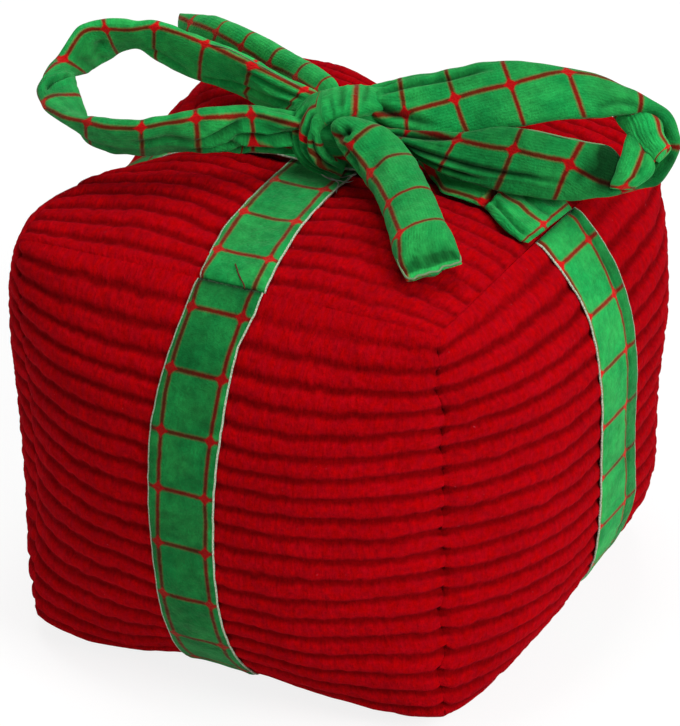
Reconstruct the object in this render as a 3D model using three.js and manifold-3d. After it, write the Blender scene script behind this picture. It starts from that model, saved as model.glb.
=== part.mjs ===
// A plush dog toy: a stuffed corduroy cube dressed as a gift, with ribbons round it and a tied bow on top.
// Millimetres, +Z up. The front face looks along -Y. The origin is the centre of the flat under the base.

import * as THREE from 'three';
import Module from 'manifold-3d';

const wasm = await Module();
wasm.setup();

// Sizes of the stuffed cube
const cornerHalfWidth = 58;
const cornerHalfHeight = 54.7;
const sideCrown = 20.9;
const topCrown = 11.8;
const baseCrown = 5.2;
const baseFlatDepth = 0.5;
const seamPinch = 1.7;
const cornerDraw = 2.6;
const panelWall = 2.2;
const seamGap = 0.45;

// Where the ribbons draw the stuffed cube in
const ribbonValley = 5.9;
const ribbonValleyWidth = 17.2;
const edgePull = 10.4;
const edgePullWidth = 22;

// Ribbons
const ribbonWidth = 19.4;
const ribbonWall = 1.4;
const looseRibbonPuff = 2.6;

// Squeaker
const squeakerRadius = 20;
const squeakerHalfHeight = 11;
const squeakerWall = 1.2;
const squeakerNeckRadius = 6.5;
const squeakerNeckHeight = 5;
const plugFlange = 1.6;
const plugBoreRadius = 2.6;
const reedThickness = 0.6;
const reedOverhang = 2.4;

// The bow's fabric tube, flattened and lightly stuffed
const tubeWidth = 17;
const tubeThickness = 6.6;
const tubeRootWidth = 9;
const tubeRootThickness = 4.6;
const rootBallRadius = 4.9;

// The knot, measured from the box's upright axis and from the top of the ribbon cross
const knotRight = 5.8;
const knotForward = 5.8;
const knotHalfLength = 11.2;
const knotHalfDepth = 9.6;
const knotHalfHeight = 9.4;
const knotSink = 1.8;
const wrapWidth = 13;
const wrapThickness = 5;

// How far each loop and tail reaches from its root
const leftLoopReach = 64.5;
const leftLoopSpread = 26.3;
const leftLoopRise = 4.6;
const rightLoopReach = 64;
const rightLoopSpread = 7.6;
const rightLoopRise = 10.4;
const frontTailReach = 51;
const frontTailSway = 6.8;
const frontTailDrop = 13;
const backTailReach = 76;
const backTailSway = 5.2;
const backTailDrop = 6.4;

// One clearance keeps pieces that touch apart, and points closer than the weld distance are one
const clearance = 0.3;
const weldDistance = 0.001;

// How the stuffed faces roll over towards their seams, as powers of the distance from the middle
const sideRollPower = 3;
const topRollPower = 2.4;
const baseRollPower = 4;
const pullRollPower = 3;
const cornerRollPower = 6;
const tubeRoundPower = 0.8;
const edgeDropShare = 0.25;

// How far from the middle the upper ribbon comes down again, in half widths of the lower one
const crossReachShare = 2.2;

// The wrap's place out from the knot's axis, as a share of the core, and how it leans along the knot
const wrapSeatShare = 0.86;
const wrapLeanShare = 0.35;

// Places of the roots round the knot, as shares of the knot's half length, half depth and half height
const leftRootShares = [-0.98, -0.12, 0.06];
const rightRootShares = [0.98, 0.2, 0.16];
const frontRootShares = [0.3, -0.78, 0.25];
const backRootShares = [-0.36, 0.9, 0.06];

// Headings of the bow's four arms in degrees, counted from +X towards +Y
const leftHeading = 188.7;
const rightHeading = 17.5;
const frontHeading = -45;
const backHeading = 149.8;

// How far the loops and tails lift, in degrees, which shapes the mouths in the knot
const loopLift = 40;
const tailLift = 38;

// Mesh counts
const panelCells = 12;
const ribbonSteps = 14;
const ribbonCells = 2;
const tubeSides = 10;
const loopSteps = 34;
const tailSteps = 14;
const lobeSteps = 6;
const wrapSteps = 16;
const ballCells = 10;
const knotCells = 16;
const latheSteps = 20;
const curvePoints = 6;

// Colours
const red = new THREE.MeshStandardMaterial({ color: 0xa00510, roughness: 0.95, metalness: 0 });
const green = new THREE.MeshStandardMaterial({ color: 0x1f8f4b, roughness: 0.9, metalness: 0 });
const fibre = new THREE.MeshStandardMaterial({ color: 0xe9e7df, roughness: 1, metalness: 0 });
const squeakerPlastic = new THREE.MeshStandardMaterial({ color: 0xdfe3e6, roughness: 0.5, metalness: 0 });
const reedPlastic = new THREE.MeshStandardMaterial({ color: 0xc9d4da, roughness: 0.3, metalness: 0 });

const toy = new THREE.Group();

function addPiece(name, geometry, material) {
  geometry.computeVertexNormals();
  const mesh = new THREE.Mesh(geometry, material);
  mesh.name = name;
  toy.add(mesh);
}

// Closed bodies

function body(positions, indices) {
  const geometry = new THREE.BufferGeometry();
  geometry.setAttribute('position', new THREE.Float32BufferAttribute(positions, 3));
  geometry.setIndex(indices);
  return geometry;
}

// A closed slab between two sheets, each a function of two shares from 0 to 1
function slab(outer, inner, columns, rows) {
  const positions = [];
  const indices = [];
  const perSheet = (columns + 1) * (rows + 1);
  for (const sheet of [outer, inner]) {
    for (let j = 0; j <= rows; j += 1) {
      for (let i = 0; i <= columns; i += 1) {
        positions.push(...sheet(i / columns, j / rows));
      }
    }
  }
  const at = (i, j) => j * (columns + 1) + i;
  for (let j = 0; j < rows; j += 1) {
    for (let i = 0; i < columns; i += 1) {
      const [a, b, c, d] = [at(i, j), at(i + 1, j), at(i + 1, j + 1), at(i, j + 1)];
      indices.push(a, b, c, a, c, d);
      indices.push(a + perSheet, c + perSheet, b + perSheet, a + perSheet, d + perSheet, c + perSheet);
    }
  }
  const rim = [];
  for (let i = 0; i < columns; i += 1) rim.push([at(i, 0), at(i + 1, 0)]);
  for (let j = 0; j < rows; j += 1) rim.push([at(columns, j), at(columns, j + 1)]);
  for (let i = columns; i > 0; i -= 1) rim.push([at(i, rows), at(i - 1, rows)]);
  for (let j = rows; j > 0; j -= 1) rim.push([at(0, j), at(0, j - 1)]);
  for (const [a, b] of rim) {
    indices.push(b, a, a + perSheet, b, a + perSheet, b + perSheet);
  }
  return body(positions, indices);
}

// The skin through sections of equal point counts, each joined to the next
function skin(sections, spans) {
  const sides = sections[0].length;
  const indices = [];
  for (let k = 0; k < spans; k += 1) {
    const next = ((k + 1) % sections.length) * sides;
    for (let i = 0; i < sides; i += 1) {
      const beside = (i + 1) % sides;
      const [a, b, c, d] = [k * sides + i, k * sides + beside, next + beside, next + i];
      indices.push(a, b, c, a, c, d);
    }
  }
  return indices;
}

const flatten = (sections) => sections.flat().flatMap((point) => point.toArray());

// A closed tube, with a fan over each end
function tube(sections) {
  const sides = sections[0].length;
  const indices = skin(sections, sections.length - 1);
  const last = (sections.length - 1) * sides;
  for (let i = 1; i + 1 < sides; i += 1) {
    indices.push(0, i + 1, i);
    indices.push(last, last + i, last + i + 1);
  }
  return body(flatten(sections), indices);
}

const ring = (sections) => body(flatten(sections), skin(sections, sections.length));

function toSolid(geometry) {
  const mesh = new wasm.Mesh({
    numProp: 3,
    vertProperties: new Float32Array(geometry.attributes.position.array),
    triVerts: new Uint32Array(geometry.index.array),
  });
  return new wasm.Manifold(mesh);
}

function toGeometry(solid) {
  const mesh = solid.getMesh();
  return body(Array.from(mesh.vertProperties), Array.from(mesh.triVerts));
}

// A three.js geometry with its poles and seam closed, so that it can be joined or cut
function closed(geometry) {
  const source = geometry.index ? geometry.toNonIndexed() : geometry;
  const places = new Map();
  const positions = [];
  const indices = [];
  const p = source.attributes.position;
  for (let i = 0; i < p.count; i += 3) {
    const corner = [];
    for (let k = i; k < i + 3; k += 1) {
      const point = [p.getX(k), p.getY(k), p.getZ(k)].map(Math.fround);
      const key = point.map((value) => Math.round(value / weldDistance)).join();
      if (!places.has(key)) {
        places.set(key, positions.length / 3);
        positions.push(...point);
      }
      corner.push(places.get(key));
    }
    if (new Set(corner).size === 3) indices.push(...corner);
  }
  return body(positions, indices);
}

// The stuffed cube

const centreHeight = cornerHalfHeight + baseCrown - baseFlatDepth;
const bulge = (t) => 1 - t * t;
const roll = (t, power) => 1 - Math.abs(t) ** power;
const bell = (t, width) => Math.exp(-((t / width) ** 2));
const ramp = (t) => Math.max(t, 0) ** pullRollPower;

// Takes a point of the plain cube from -1 to 1 to its place on the stuffed cube, from the cube's centre
function stuffed(x, y, z) {
  const valley = ribbonValleyWidth / cornerHalfWidth;
  const cross = 1 - (1 - bell(x, valley)) * (1 - bell(y, valley));
  const topRise = roll(x, topRollPower) * roll(y, topRollPower) * (topCrown - ribbonValley * cross);
  const baseRise = roll(x, baseRollPower) * roll(y, baseRollPower) * baseCrown;
  const pullWidth = edgePullWidth / cornerHalfWidth;
  const leftPull = edgePull * bell(y, pullWidth) * ramp(-x) * ramp(z);
  const backPull = edgePull * bell(x, pullWidth) * ramp(y) * ramp(z);
  const upright = cornerHalfWidth - seamPinch * bulge(z);
  const corner = Math.abs(x * y * z) ** cornerRollPower;
  const point = new THREE.Vector3(
    x * (upright + sideCrown * roll(y, sideRollPower) * roll(z, sideRollPower)) + leftPull,
    y * (upright + sideCrown * roll(x, sideRollPower) * roll(z, sideRollPower)) - backPull,
    z * (cornerHalfHeight + (z > 0 ? topRise : baseRise)) - edgeDropShare * (leftPull + backPull),
  );
  return point.multiplyScalar(1 - (corner * cornerDraw) / cornerHalfWidth);
}

// Each face takes (u, v) from -1 to 1, u to its right and v upwards as it is looked at
const faces = {
  front: (u, v) => [u, -1, v],
  right: (u, v) => [1, u, v],
  back: (u, v) => [-u, 1, v],
  left: (u, v) => [-1, -u, v],
  top: (u, v) => [u, v, 1],
  base: (u, v) => [u, -v, -1],
};

// A point of a face, moved out from the stuffed surface by a lift, and not below the flat under the base
function facePoint(face, u, v, lift) {
  const point = stuffed(...faces[face](u, v)).multiplyScalar(1 + lift / cornerHalfWidth);
  return [point.x, point.y, Math.max(point.z + centreHeight, 0)];
}

function panel(face) {
  const reach = 1 - seamGap / cornerHalfWidth / Math.SQRT2;
  const sheet = (lift) => (s, t) => facePoint(face, (2 * s - 1) * reach, (2 * t - 1) * reach, lift);
  return slab(sheet(0), sheet(-panelWall), panelCells, panelCells);
}

for (const face of Object.keys(faces)) {
  addPiece(`${face}_panel`, panel(face), red);
}

// Ribbons, flat strips that follow the stuffed surface between two seams

const ribbonHalfShare = ribbonWidth / 2 / cornerHalfWidth;
const ribbonReach = 1 - seamGap / cornerHalfWidth;

function ribbon(face) {
  const sheet = (lift) => (s, t) => {
    const u = (2 * s - 1) * ribbonHalfShare;
    const v = (2 * t - 1) * ribbonReach;
    return facePoint(face, u, v, lift);
  };
  return slab(sheet(clearance + ribbonWall), sheet(clearance), ribbonCells, ribbonSteps);
}

for (const face of ['front', 'right', 'back', 'left']) {
  addPiece(`${face}_ribbon`, ribbon(face), green);
}

// The ribbon that runs from left to right climbs over the other one, and its right half stands off in a puff
function crossLift(u) {
  const overlap = Math.min(Math.max(crossReachShare - Math.abs(u) / ribbonHalfShare, 0), 1);
  const puffShare = Math.min(Math.max((u - ribbonHalfShare) / (ribbonReach - ribbonHalfShare), 0), 1);
  return overlap * (ribbonWall + clearance) + looseRibbonPuff * Math.sin(Math.PI * puffShare);
}

function acrossSheet(lift, halfShare) {
  return (s, t) => {
    const u = (2 * s - 1) * ribbonReach;
    return facePoint('top', u, (2 * t - 1) * halfShare, lift + crossLift(u));
  };
}

function topRibbonAcross() {
  const upper = acrossSheet(clearance + ribbonWall, ribbonHalfShare);
  return slab(upper, acrossSheet(clearance, ribbonHalfShare), 2 * ribbonSteps, ribbonCells);
}

addPiece('top_ribbon_along', ribbon('top'), green);
addPiece('top_ribbon_across', topRibbonAcross(), green);

// Squeaker, a blow-moulded bulb with a reed in its plug, lying in the middle of the fill

function lathe(profile, height) {
  const geometry = new THREE.LatheGeometry(profile.map(([r, z]) => new THREE.Vector2(r, z)), latheSteps);
  geometry.rotateX(Math.PI / 2);
  geometry.translate(0, 0, height);
  return closed(geometry);
}

// Half an ellipse from its lowest point up to where it has come in to the neck
function bulbCurve(radius, halfHeight, neckRadius) {
  const neckAngle = Math.acos(neckRadius / radius);
  const points = [];
  for (let i = 0; i <= curvePoints; i += 1) {
    const angle = -Math.PI / 2 + (i / curvePoints) * (neckAngle + Math.PI / 2);
    points.push([i === 0 ? 0 : radius * Math.cos(angle), halfHeight * Math.sin(angle)]);
  }
  return points;
}

const neckTop = squeakerHalfHeight + squeakerNeckHeight;
const neckInside = squeakerNeckRadius - squeakerWall;
const plugRadius = neckInside - clearance;
const plugTop = neckTop + clearance + plugFlange;

function squeakerBulb() {
  const outside = bulbCurve(squeakerRadius, squeakerHalfHeight, squeakerNeckRadius);
  const inside = bulbCurve(squeakerRadius - squeakerWall, squeakerHalfHeight - squeakerWall, neckInside);
  const mouth = [[squeakerNeckRadius, neckTop], [neckInside, neckTop]];
  return lathe([...outside, ...mouth, ...inside.reverse()], centreHeight);
}

function squeakerPlug() {
  const barrelEnd = neckTop - squeakerNeckHeight;
  const flangeUnder = neckTop + clearance;
  const profile = [
    [plugBoreRadius, barrelEnd],
    [plugRadius, barrelEnd],
    [plugRadius, flangeUnder],
    [squeakerNeckRadius, flangeUnder],
    [squeakerNeckRadius, plugTop],
    [plugBoreRadius, plugTop],
    [plugBoreRadius, barrelEnd],
  ];
  return lathe(profile, centreHeight);
}

// The reed lies across the bore, on the plug's axis, and sticks out of its inner end
function squeakerReed() {
  const low = neckTop - squeakerNeckHeight - reedOverhang;
  const halfWidth = Math.sqrt((plugBoreRadius - clearance) ** 2 - reedThickness ** 2);
  const reed = new THREE.BoxGeometry(2 * halfWidth, reedThickness, plugTop - low);
  reed.translate(0, 0, centreHeight + (plugTop + low) / 2);
  return closed(reed);
}

addPiece('squeaker_bulb', squeakerBulb(), squeakerPlastic);
addPiece('squeaker_plug', squeakerPlug(), squeakerPlastic);
addPiece('squeaker_reed', squeakerReed(), reedPlastic);

// Fill, two wads that meet at mid-height and close round the squeaker

function fillWad() {
  const positions = [];
  const indices = [];
  for (const face of Object.keys(faces)) {
    const first = positions.length / 3;
    for (let j = 0; j <= panelCells; j += 1) {
      for (let i = 0; i <= panelCells; i += 1) {
        const point = stuffed(...faces[face](2 * i / panelCells - 1, 2 * j / panelCells - 1));
        point.multiplyScalar(1 - (panelWall + clearance) / cornerHalfWidth);
        positions.push(point.x, point.y, point.z + centreHeight);
      }
    }
    for (let j = 0; j < panelCells; j += 1) {
      for (let i = 0; i < panelCells; i += 1) {
        const a = first + j * (panelCells + 1) + i;
        const d = a + panelCells + 1;
        indices.push(a, a + 1, d + 1, a, d + 1, d);
      }
    }
  }
  return toSolid(closed(body(positions, indices)));
}

function squeakerHollow() {
  const room = bulbCurve(
    squeakerRadius + clearance,
    squeakerHalfHeight + clearance,
    squeakerNeckRadius + clearance,
  );
  const cap = [[squeakerNeckRadius + clearance, plugTop + clearance], [0, plugTop + clearance]];
  return toSolid(lathe([...room, ...cap], centreHeight));
}

// A block that holds everything over the cube's middle, or everything under it
function halfSpace(upwards) {
  const size = 2 * (cornerHalfWidth + sideCrown);
  const box = new THREE.BoxGeometry(size, size, size);
  const offset = (size + clearance) / 2;
  box.translate(0, 0, centreHeight + (upwards ? offset : -offset));
  return toSolid(closed(box));
}

const wad = fillWad().subtract(squeakerHollow());
addPiece('lower_fill', toGeometry(wad.intersect(halfSpace(false))), fibre);
addPiece('upper_fill', toGeometry(wad.intersect(halfSpace(true))), fibre);

// The bow

const crossTop = facePoint('top', 0, 0, 2 * (clearance + ribbonWall))[2];
const knotCentre = new THREE.Vector3(knotRight, -knotForward, crossTop + knotHalfHeight - knotSink);
const knotAxes = heading(rightHeading);

// Directions along, across and above an arm of the bow
function heading(degrees) {
  const angle = THREE.MathUtils.degToRad(degrees);
  return {
    along: new THREE.Vector3(Math.cos(angle), Math.sin(angle), 0),
    across: new THREE.Vector3(-Math.sin(angle), Math.cos(angle), 0),
    above: new THREE.Vector3(0, 0, 1),
  };
}

function rootPlace(shares) {
  return knotCentre.clone()
    .addScaledVector(knotAxes.along, shares[0] * knotHalfLength)
    .addScaledVector(knotAxes.across, shares[1] * knotHalfDepth)
    .addScaledVector(knotAxes.above, shares[2] * knotHalfHeight);
}

function armPoint(arm, shares) {
  return arm.root.clone()
    .addScaledVector(arm.axes.along, shares[0] * arm.reach)
    .addScaledVector(arm.axes.across, shares[1] * arm.spread)
    .addScaledVector(arm.axes.above, shares[2] * arm.rise);
}

function armDirection(arm, shares) {
  return new THREE.Vector3()
    .addScaledVector(arm.axes.along, shares[0])
    .addScaledVector(arm.axes.across, shares[1])
    .addScaledVector(arm.axes.above, shares[2])
    .normalize();
}

// One section of the flattened tube: a rounded oblong, wide along one direction
function section(centre, wide, thin, halfWidth, halfThickness) {
  const points = [];
  for (let i = 0; i < tubeSides; i += 1) {
    const angle = (2 * Math.PI * i) / tubeSides;
    const up = Math.sin(angle);
    points.push(centre.clone()
      .addScaledVector(wide, halfWidth * Math.cos(angle))
      .addScaledVector(thin, halfThickness * Math.sign(up) * Math.abs(up) ** tubeRoundPower));
  }
  return points;
}

// Sweeps the tube along an arm's path. Each stop holds a place, the direction of the tube's width, and how
// full the tube is there, from 0 at the gathered root to 1 at full width.
function sweep(arm, stops, steps, fullWidth, fullThickness) {
  const places = stops.map((stop) => armPoint(arm, stop.placeShares));
  const path = new THREE.CatmullRomCurve3(places, false, 'centripetal');
  const sections = [];
  for (let k = 0; k <= steps; k += 1) {
    const t = k / steps;
    const span = Math.min(Math.floor(t * (stops.length - 1)), stops.length - 2);
    const part = t * (stops.length - 1) - span;
    const tangent = path.getTangent(t);
    const from = armDirection(arm, stops[span].wideShares);
    const to = armDirection(arm, stops[span + 1].wideShares);
    const wide = from.lerp(to, part);
    wide.addScaledVector(tangent, -wide.dot(tangent)).normalize();
    const thin = tangent.clone().cross(wide);
    const full = THREE.MathUtils.lerp(stops[span].fullShare, stops[span + 1].fullShare, part);
    const halfWidth = THREE.MathUtils.lerp(tubeRootWidth, fullWidth, full) / 2;
    const halfThickness = THREE.MathUtils.lerp(tubeRootThickness, fullThickness, full) / 2;
    sections.push(section(path.getPoint(t), wide, thin, halfWidth, halfThickness));
  }
  return toSolid(tube(sections));
}

// The round end that a loop's two strands make where they are gathered into the knot
function rootBall(arm) {
  const ball = new THREE.SphereGeometry(rootBallRadius, ballCells, ballCells / 2);
  ball.translate(...arm.root);
  return toSolid(closed(ball));
}

const stop = (placeShares, wideShares, fullShare) => ({ placeShares, wideShares, fullShare });

// The left loop lies on its side: the far strand goes out, and the near one comes back lower
const leftWideShares = [-0.17, 0.47, 0.87];
const leftLoopShares = [
  stop([0.02, -0.1, 0], [0, 0, 1], 0),
  stop([0.2, -0.3, 0.85], leftWideShares, 0.6),
  stop([0.39, -0.55, 1], leftWideShares, 1),
  stop([0.57, -0.79, 1], leftWideShares, 1),
  stop([0.74, -0.97, 1], leftWideShares, 1),
  stop([0.89, -0.98, 0.9], leftWideShares, 0.9),
  stop([0.97, -0.66, 0.75], leftWideShares, 1),
  stop([1, -0.2, 0.6], leftWideShares, 1),
  stop([0.95, 0.25, 0.3], leftWideShares, 1),
  stop([0.82, 0.62, 0.05], leftWideShares, 1),
  stop([0.62, 0.73, -0.13], leftWideShares, 1),
  stop([0.41, 0.48, -0.13], leftWideShares, 1),
  stop([0.2, 0.22, 0], leftWideShares, 0.7),
  stop([0.02, 0.1, 0], [0, 0, 1], 0),
];

const leftLoop = {
  axes: heading(leftHeading),
  root: rootPlace(leftRootShares),
  reach: leftLoopReach,
  spread: leftLoopSpread,
  rise: leftLoopRise,
  stops: leftLoopShares,
};

// The right loop leans back: the upper strand goes out broad side up, and the lower one comes back under it
const rightUpperShares = [-0.15, 0.81, 0.57];
const rightLowerShares = [0, -0.3, -0.95];
const rightLoopShares = [
  stop([0.02, 0, 0.26], [0, 1, 0], 0),
  stop([0.16, -0.1, 0.75], [0, 1, 0.3], 0.6),
  stop([0.3, -0.2, 0.95], rightUpperShares, 1),
  stop([0.48, 0.2, 1], rightUpperShares, 1),
  stop([0.69, 0.7, 0.9], rightUpperShares, 1),
  stop([0.87, 0.95, 0.68], [0.2, 0.8, 0.5], 1),
  stop([0.98, 0.6, 0.26], [0.8, 0.5, 0.2], 1),
  stop([0.98, 0.1, -0.3], [0.8, 0, -0.5], 1),
  stop([0.9, -0.2, -0.58], [0.3, -0.2, -0.9], 1),
  stop([0.74, -0.5, -0.66], rightLowerShares, 1),
  stop([0.55, -0.7, -0.42], rightLowerShares, 1),
  stop([0.34, -0.5, -0.3], [0, -0.7, -0.7], 1),
  stop([0.16, -0.2, -0.3], [0, -1, -0.3], 0.6),
  stop([0.02, 0, -0.26], [0, -1, 0], 0),
];

const rightLoop = {
  axes: heading(rightHeading),
  root: rootPlace(rightRootShares),
  reach: rightLoopReach,
  spread: rightLoopSpread,
  rise: rightLoopRise,
  stops: rightLoopShares,
};

// Where the right loop turns back, its inner side buckles into two rolls
const upperRollShares = [
  stop([0.84, 0.55, 0.5], [0, 0.6, 0.8], 0),
  stop([0.92, 0.25, 0.25], [0.5, 0.3, 0.8], 0.35),
  stop([1.0, 0, -0.1], [0.8, 0, 0.6], 0.3),
  stop([1.0, 0.1, -0.4], [1, 0, 0], 0),
];
const lowerRollShares = [
  stop([0.96, 0.1, -0.05], [1, 0, 0.3], 0),
  stop([0.95, -0.35, -0.4], [1, 0, 0.2], 0.35),
  stop([0.9, -0.6, -0.8], [1, 0, 0], 0.1),
];

// The front tail humps up out of the knot and then lies down over the top towards the near corner
const frontTailShares = [
  stop([0, 0, 0], [0, 1, 0], 0),
  stop([0.12, 0.1, 0.14], [0, 1, 0], 0.2),
  stop([0.29, 0.6, 0], [0, 1, 0.1], 0.9),
  stop([0.48, 1, -0.4], [0, 1, 0.1], 0.9),
  stop([0.7, 1, -0.68], [0, 1, 0], 0.9),
  stop([0.92, 0.85, -0.9], [0, 1, 0], 0.9),
  stop([1, 0.85, -0.98], [0, 1, 0], 0.6),
];

const frontTail = {
  axes: heading(frontHeading),
  root: rootPlace(frontRootShares),
  reach: frontTailReach,
  spread: frontTailSway,
  rise: frontTailDrop,
  stops: frontTailShares,
};

// The back tail runs out past the far left corner
const backTailShares = [
  stop([0, 0, 0], [0, 1, 0], 0),
  stop([0.1, 0, 0.05], [0, 1, 0.1], 0.3),
  stop([0.36, -0.48, -0.2], [0, 1, 0.5], 0.9),
  stop([0.58, -0.9, -0.4], [0, 1, 0.5], 0.9),
  stop([0.8, -0.95, -0.7], [0, 1, 0.4], 0.9),
  stop([0.95, -0.6, -0.9], [0, 1, 0.3], 0.9),
  stop([1, -0.4, -0.95], [0, 1, 0.3], 0.6),
];

const backTail = {
  axes: heading(backHeading),
  root: rootPlace(backRootShares),
  reach: backTailReach,
  spread: backTailSway,
  rise: backTailDrop,
  stops: backTailShares,
};

const flatTube = (arm, steps) => sweep(arm, arm.stops, steps, tubeWidth, tubeThickness);
const roundRoll = (arm, stops) => sweep(arm, stops, lobeSteps, tubeWidth, tubeWidth);

const leftBend = flatTube(leftLoop, loopSteps).add(rootBall(leftLoop));
const rightBend = flatTube(rightLoop, loopSteps)
  .add(roundRoll(rightLoop, upperRollShares))
  .add(roundRoll(rightLoop, lowerRollShares))
  .add(rootBall(rightLoop));

addPiece('left_loop', toGeometry(leftBend), green);
addPiece('right_loop', toGeometry(rightBend), green);
addPiece('front_tail', toGeometry(flatTube(frontTail, tailSteps)), green);
addPiece('back_tail', toGeometry(flatTube(backTail, tailSteps)), green);

// The knot: a squashed core with the tube wrapped round its waist, and a mouth for each arm

function knotCore() {
  const core = new THREE.SphereGeometry(1, knotCells, knotCells / 2);
  core.scale(knotHalfLength, knotHalfDepth, knotHalfHeight);
  core.rotateZ(THREE.MathUtils.degToRad(rightHeading));
  core.translate(...knotCentre);
  return toSolid(closed(core));
}

function knotWrap() {
  const sections = [];
  const lean = knotAxes.along.clone().addScaledVector(knotAxes.across, wrapLeanShare).normalize();
  for (let k = 0; k < wrapSteps; k += 1) {
    const angle = (2 * Math.PI * k) / wrapSteps;
    const out = new THREE.Vector3()
      .addScaledVector(knotAxes.across, Math.cos(angle) * knotHalfDepth)
      .addScaledVector(knotAxes.above, Math.sin(angle) * knotHalfHeight);
    const centre = knotCentre.clone().addScaledVector(out, wrapSeatShare);
    sections.push(section(centre, lean, out.normalize(), wrapWidth / 2, wrapThickness / 2));
  }
  return toSolid(ring(sections));
}

// The knot is pressed flat where it sits on the ribbon cross
function ribbonSeat() {
  const upper = acrossSheet(2 * clearance + ribbonWall, 2 * ribbonHalfShare);
  const lower = acrossSheet(-panelWall, 2 * ribbonHalfShare);
  return toSolid(slab(upper, lower, 2 * ribbonSteps, ribbonCells));
}

// How steeply an arm climbs as it leaves the knot, in radians
function rootSlope(arm) {
  const leaving = armPoint(arm, arm.stops[1].placeShares).sub(armPoint(arm, arm.stops[0].placeShares));
  return Math.atan2(leaving.dot(arm.axes.above), leaving.dot(arm.axes.along));
}

// The room that an arm's root sweeps as it lifts: a fan with a round back, as wide as the root
function mouth(arm, sweepAngle, half, halfWidth) {
  const far = 2 * knotHalfLength;
  const cosine = Math.cos(sweepAngle);
  const sine = Math.sin(sweepAngle);
  const outline = new THREE.Shape();
  outline.moveTo(0, -half);
  outline.lineTo(far, -half);
  outline.lineTo(far, far * Math.tan(sweepAngle / 2));
  outline.lineTo(far * cosine - half * sine, far * sine + half * cosine);
  outline.lineTo(-half * sine, half * cosine);
  outline.absarc(0, 0, half, Math.PI / 2 + sweepAngle, (3 * Math.PI) / 2, false);
  const options = { depth: 2 * halfWidth, bevelEnabled: false, curveSegments: curvePoints };
  const fan = new THREE.ExtrudeGeometry(outline, options);
  fan.translate(0, 0, -halfWidth);
  const depthwise = arm.axes.across.clone().negate();
  const basis = new THREE.Matrix4().makeBasis(arm.axes.along, arm.axes.above, depthwise);
  basis.setPosition(arm.root);
  fan.applyMatrix4(basis);
  return toSolid(closed(fan));
}

function loopMouth(arm) {
  const half = rootBallRadius + clearance;
  return mouth(arm, THREE.MathUtils.degToRad(loopLift), half, half);
}

function tailMouth(arm) {
  const half = tubeRootThickness / 2 + clearance;
  const halfWidth = tubeRootWidth / 2 + 2 * clearance;
  return mouth(arm, THREE.MathUtils.degToRad(tailLift) + rootSlope(arm), half, halfWidth);
}

const knot = knotCore()
  .add(knotWrap())
  .subtract(ribbonSeat())
  .subtract(loopMouth(leftLoop))
  .subtract(loopMouth(rightLoop))
  .subtract(tailMouth(frontTail))
  .subtract(tailMouth(backTail));
addPiece('bow_knot', toGeometry(knot), green);

// Each arm hinges about a level axis through its root, and lifts as it turns by the right-hand rule
function hinge(name, arm, liftDegrees) {
  const axis = arm.axes.across.clone().negate();
  return { name, pos: arm.root.toArray(), axis: axis.toArray(), range: [0, liftDegrees] };
}

toy.userData.hinges = [
  hinge('left_loop', leftLoop, loopLift),
  hinge('right_loop', rightLoop, loopLift),
  hinge('front_tail', frontTail, tailLift),
  hinge('back_tail', backTail, tailLift),
];

export default toy;
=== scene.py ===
import math

import bpy
import numpy as np
from mathutils import Matrix, Vector


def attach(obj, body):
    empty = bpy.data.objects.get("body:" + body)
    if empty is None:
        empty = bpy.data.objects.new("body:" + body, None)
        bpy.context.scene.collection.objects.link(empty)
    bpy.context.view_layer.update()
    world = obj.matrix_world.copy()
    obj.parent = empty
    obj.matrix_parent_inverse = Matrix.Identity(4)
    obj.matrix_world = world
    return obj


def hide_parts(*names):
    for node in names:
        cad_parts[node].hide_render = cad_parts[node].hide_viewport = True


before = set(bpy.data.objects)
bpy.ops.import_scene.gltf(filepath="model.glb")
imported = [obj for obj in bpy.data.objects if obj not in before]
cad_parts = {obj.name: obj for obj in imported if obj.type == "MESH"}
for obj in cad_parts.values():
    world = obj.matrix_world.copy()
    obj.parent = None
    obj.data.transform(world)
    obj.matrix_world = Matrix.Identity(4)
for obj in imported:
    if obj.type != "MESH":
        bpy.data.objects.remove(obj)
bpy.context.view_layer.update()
scene = bpy.context.scene

# Lengths in this script are in millimetres unless a name says otherwise, and meshes are made in metres
MM = 0.001
FRAME_WIDTH, FRAME_HEIGHT = 680, 726
SENSOR = 36

# The stuffed cube's sizes, the same as in the part's source
HALF = 58.0
HALF_HEIGHT = 54.7
SIDE_CROWN = 20.9
TOP_CROWN = 11.8
BASE_CROWN = 5.2
BASE_FLAT = 0.5
SEAM_PINCH = 1.7
CORNER_DRAW = 2.6
VALLEY = 5.9
VALLEY_WIDTH = 17.2
EDGE_PULL = 10.4
EDGE_PULL_WIDTH = 22.0
CENTRE = HALF_HEIGHT + BASE_CROWN - BASE_FLAT
TOP_POWER = 2.4
SIDE_POWER = 3
BASE_POWER = 4
CORNER_POWER = 6
EDGE_DROP = 0.25

# Cloth: rib count and depth, the knit's wave number, how the seams round and wander, and the printed check's cells
RIBS = 19.5
RIB_START = 0.25
KNIT = 2 * math.pi / 0.72
RIB_DEPTH = 0.9
SEAM_ROUND = 3.2
STEEPEST_TURN = 0.85
SEAM_WANDER = 1.0
CHECK_ACROSS = 14.3
CHECK_ALONG = 15.4
TUBE_CHECK_ACROSS = 17.5


# Camera, at the photograph's angle

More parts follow.
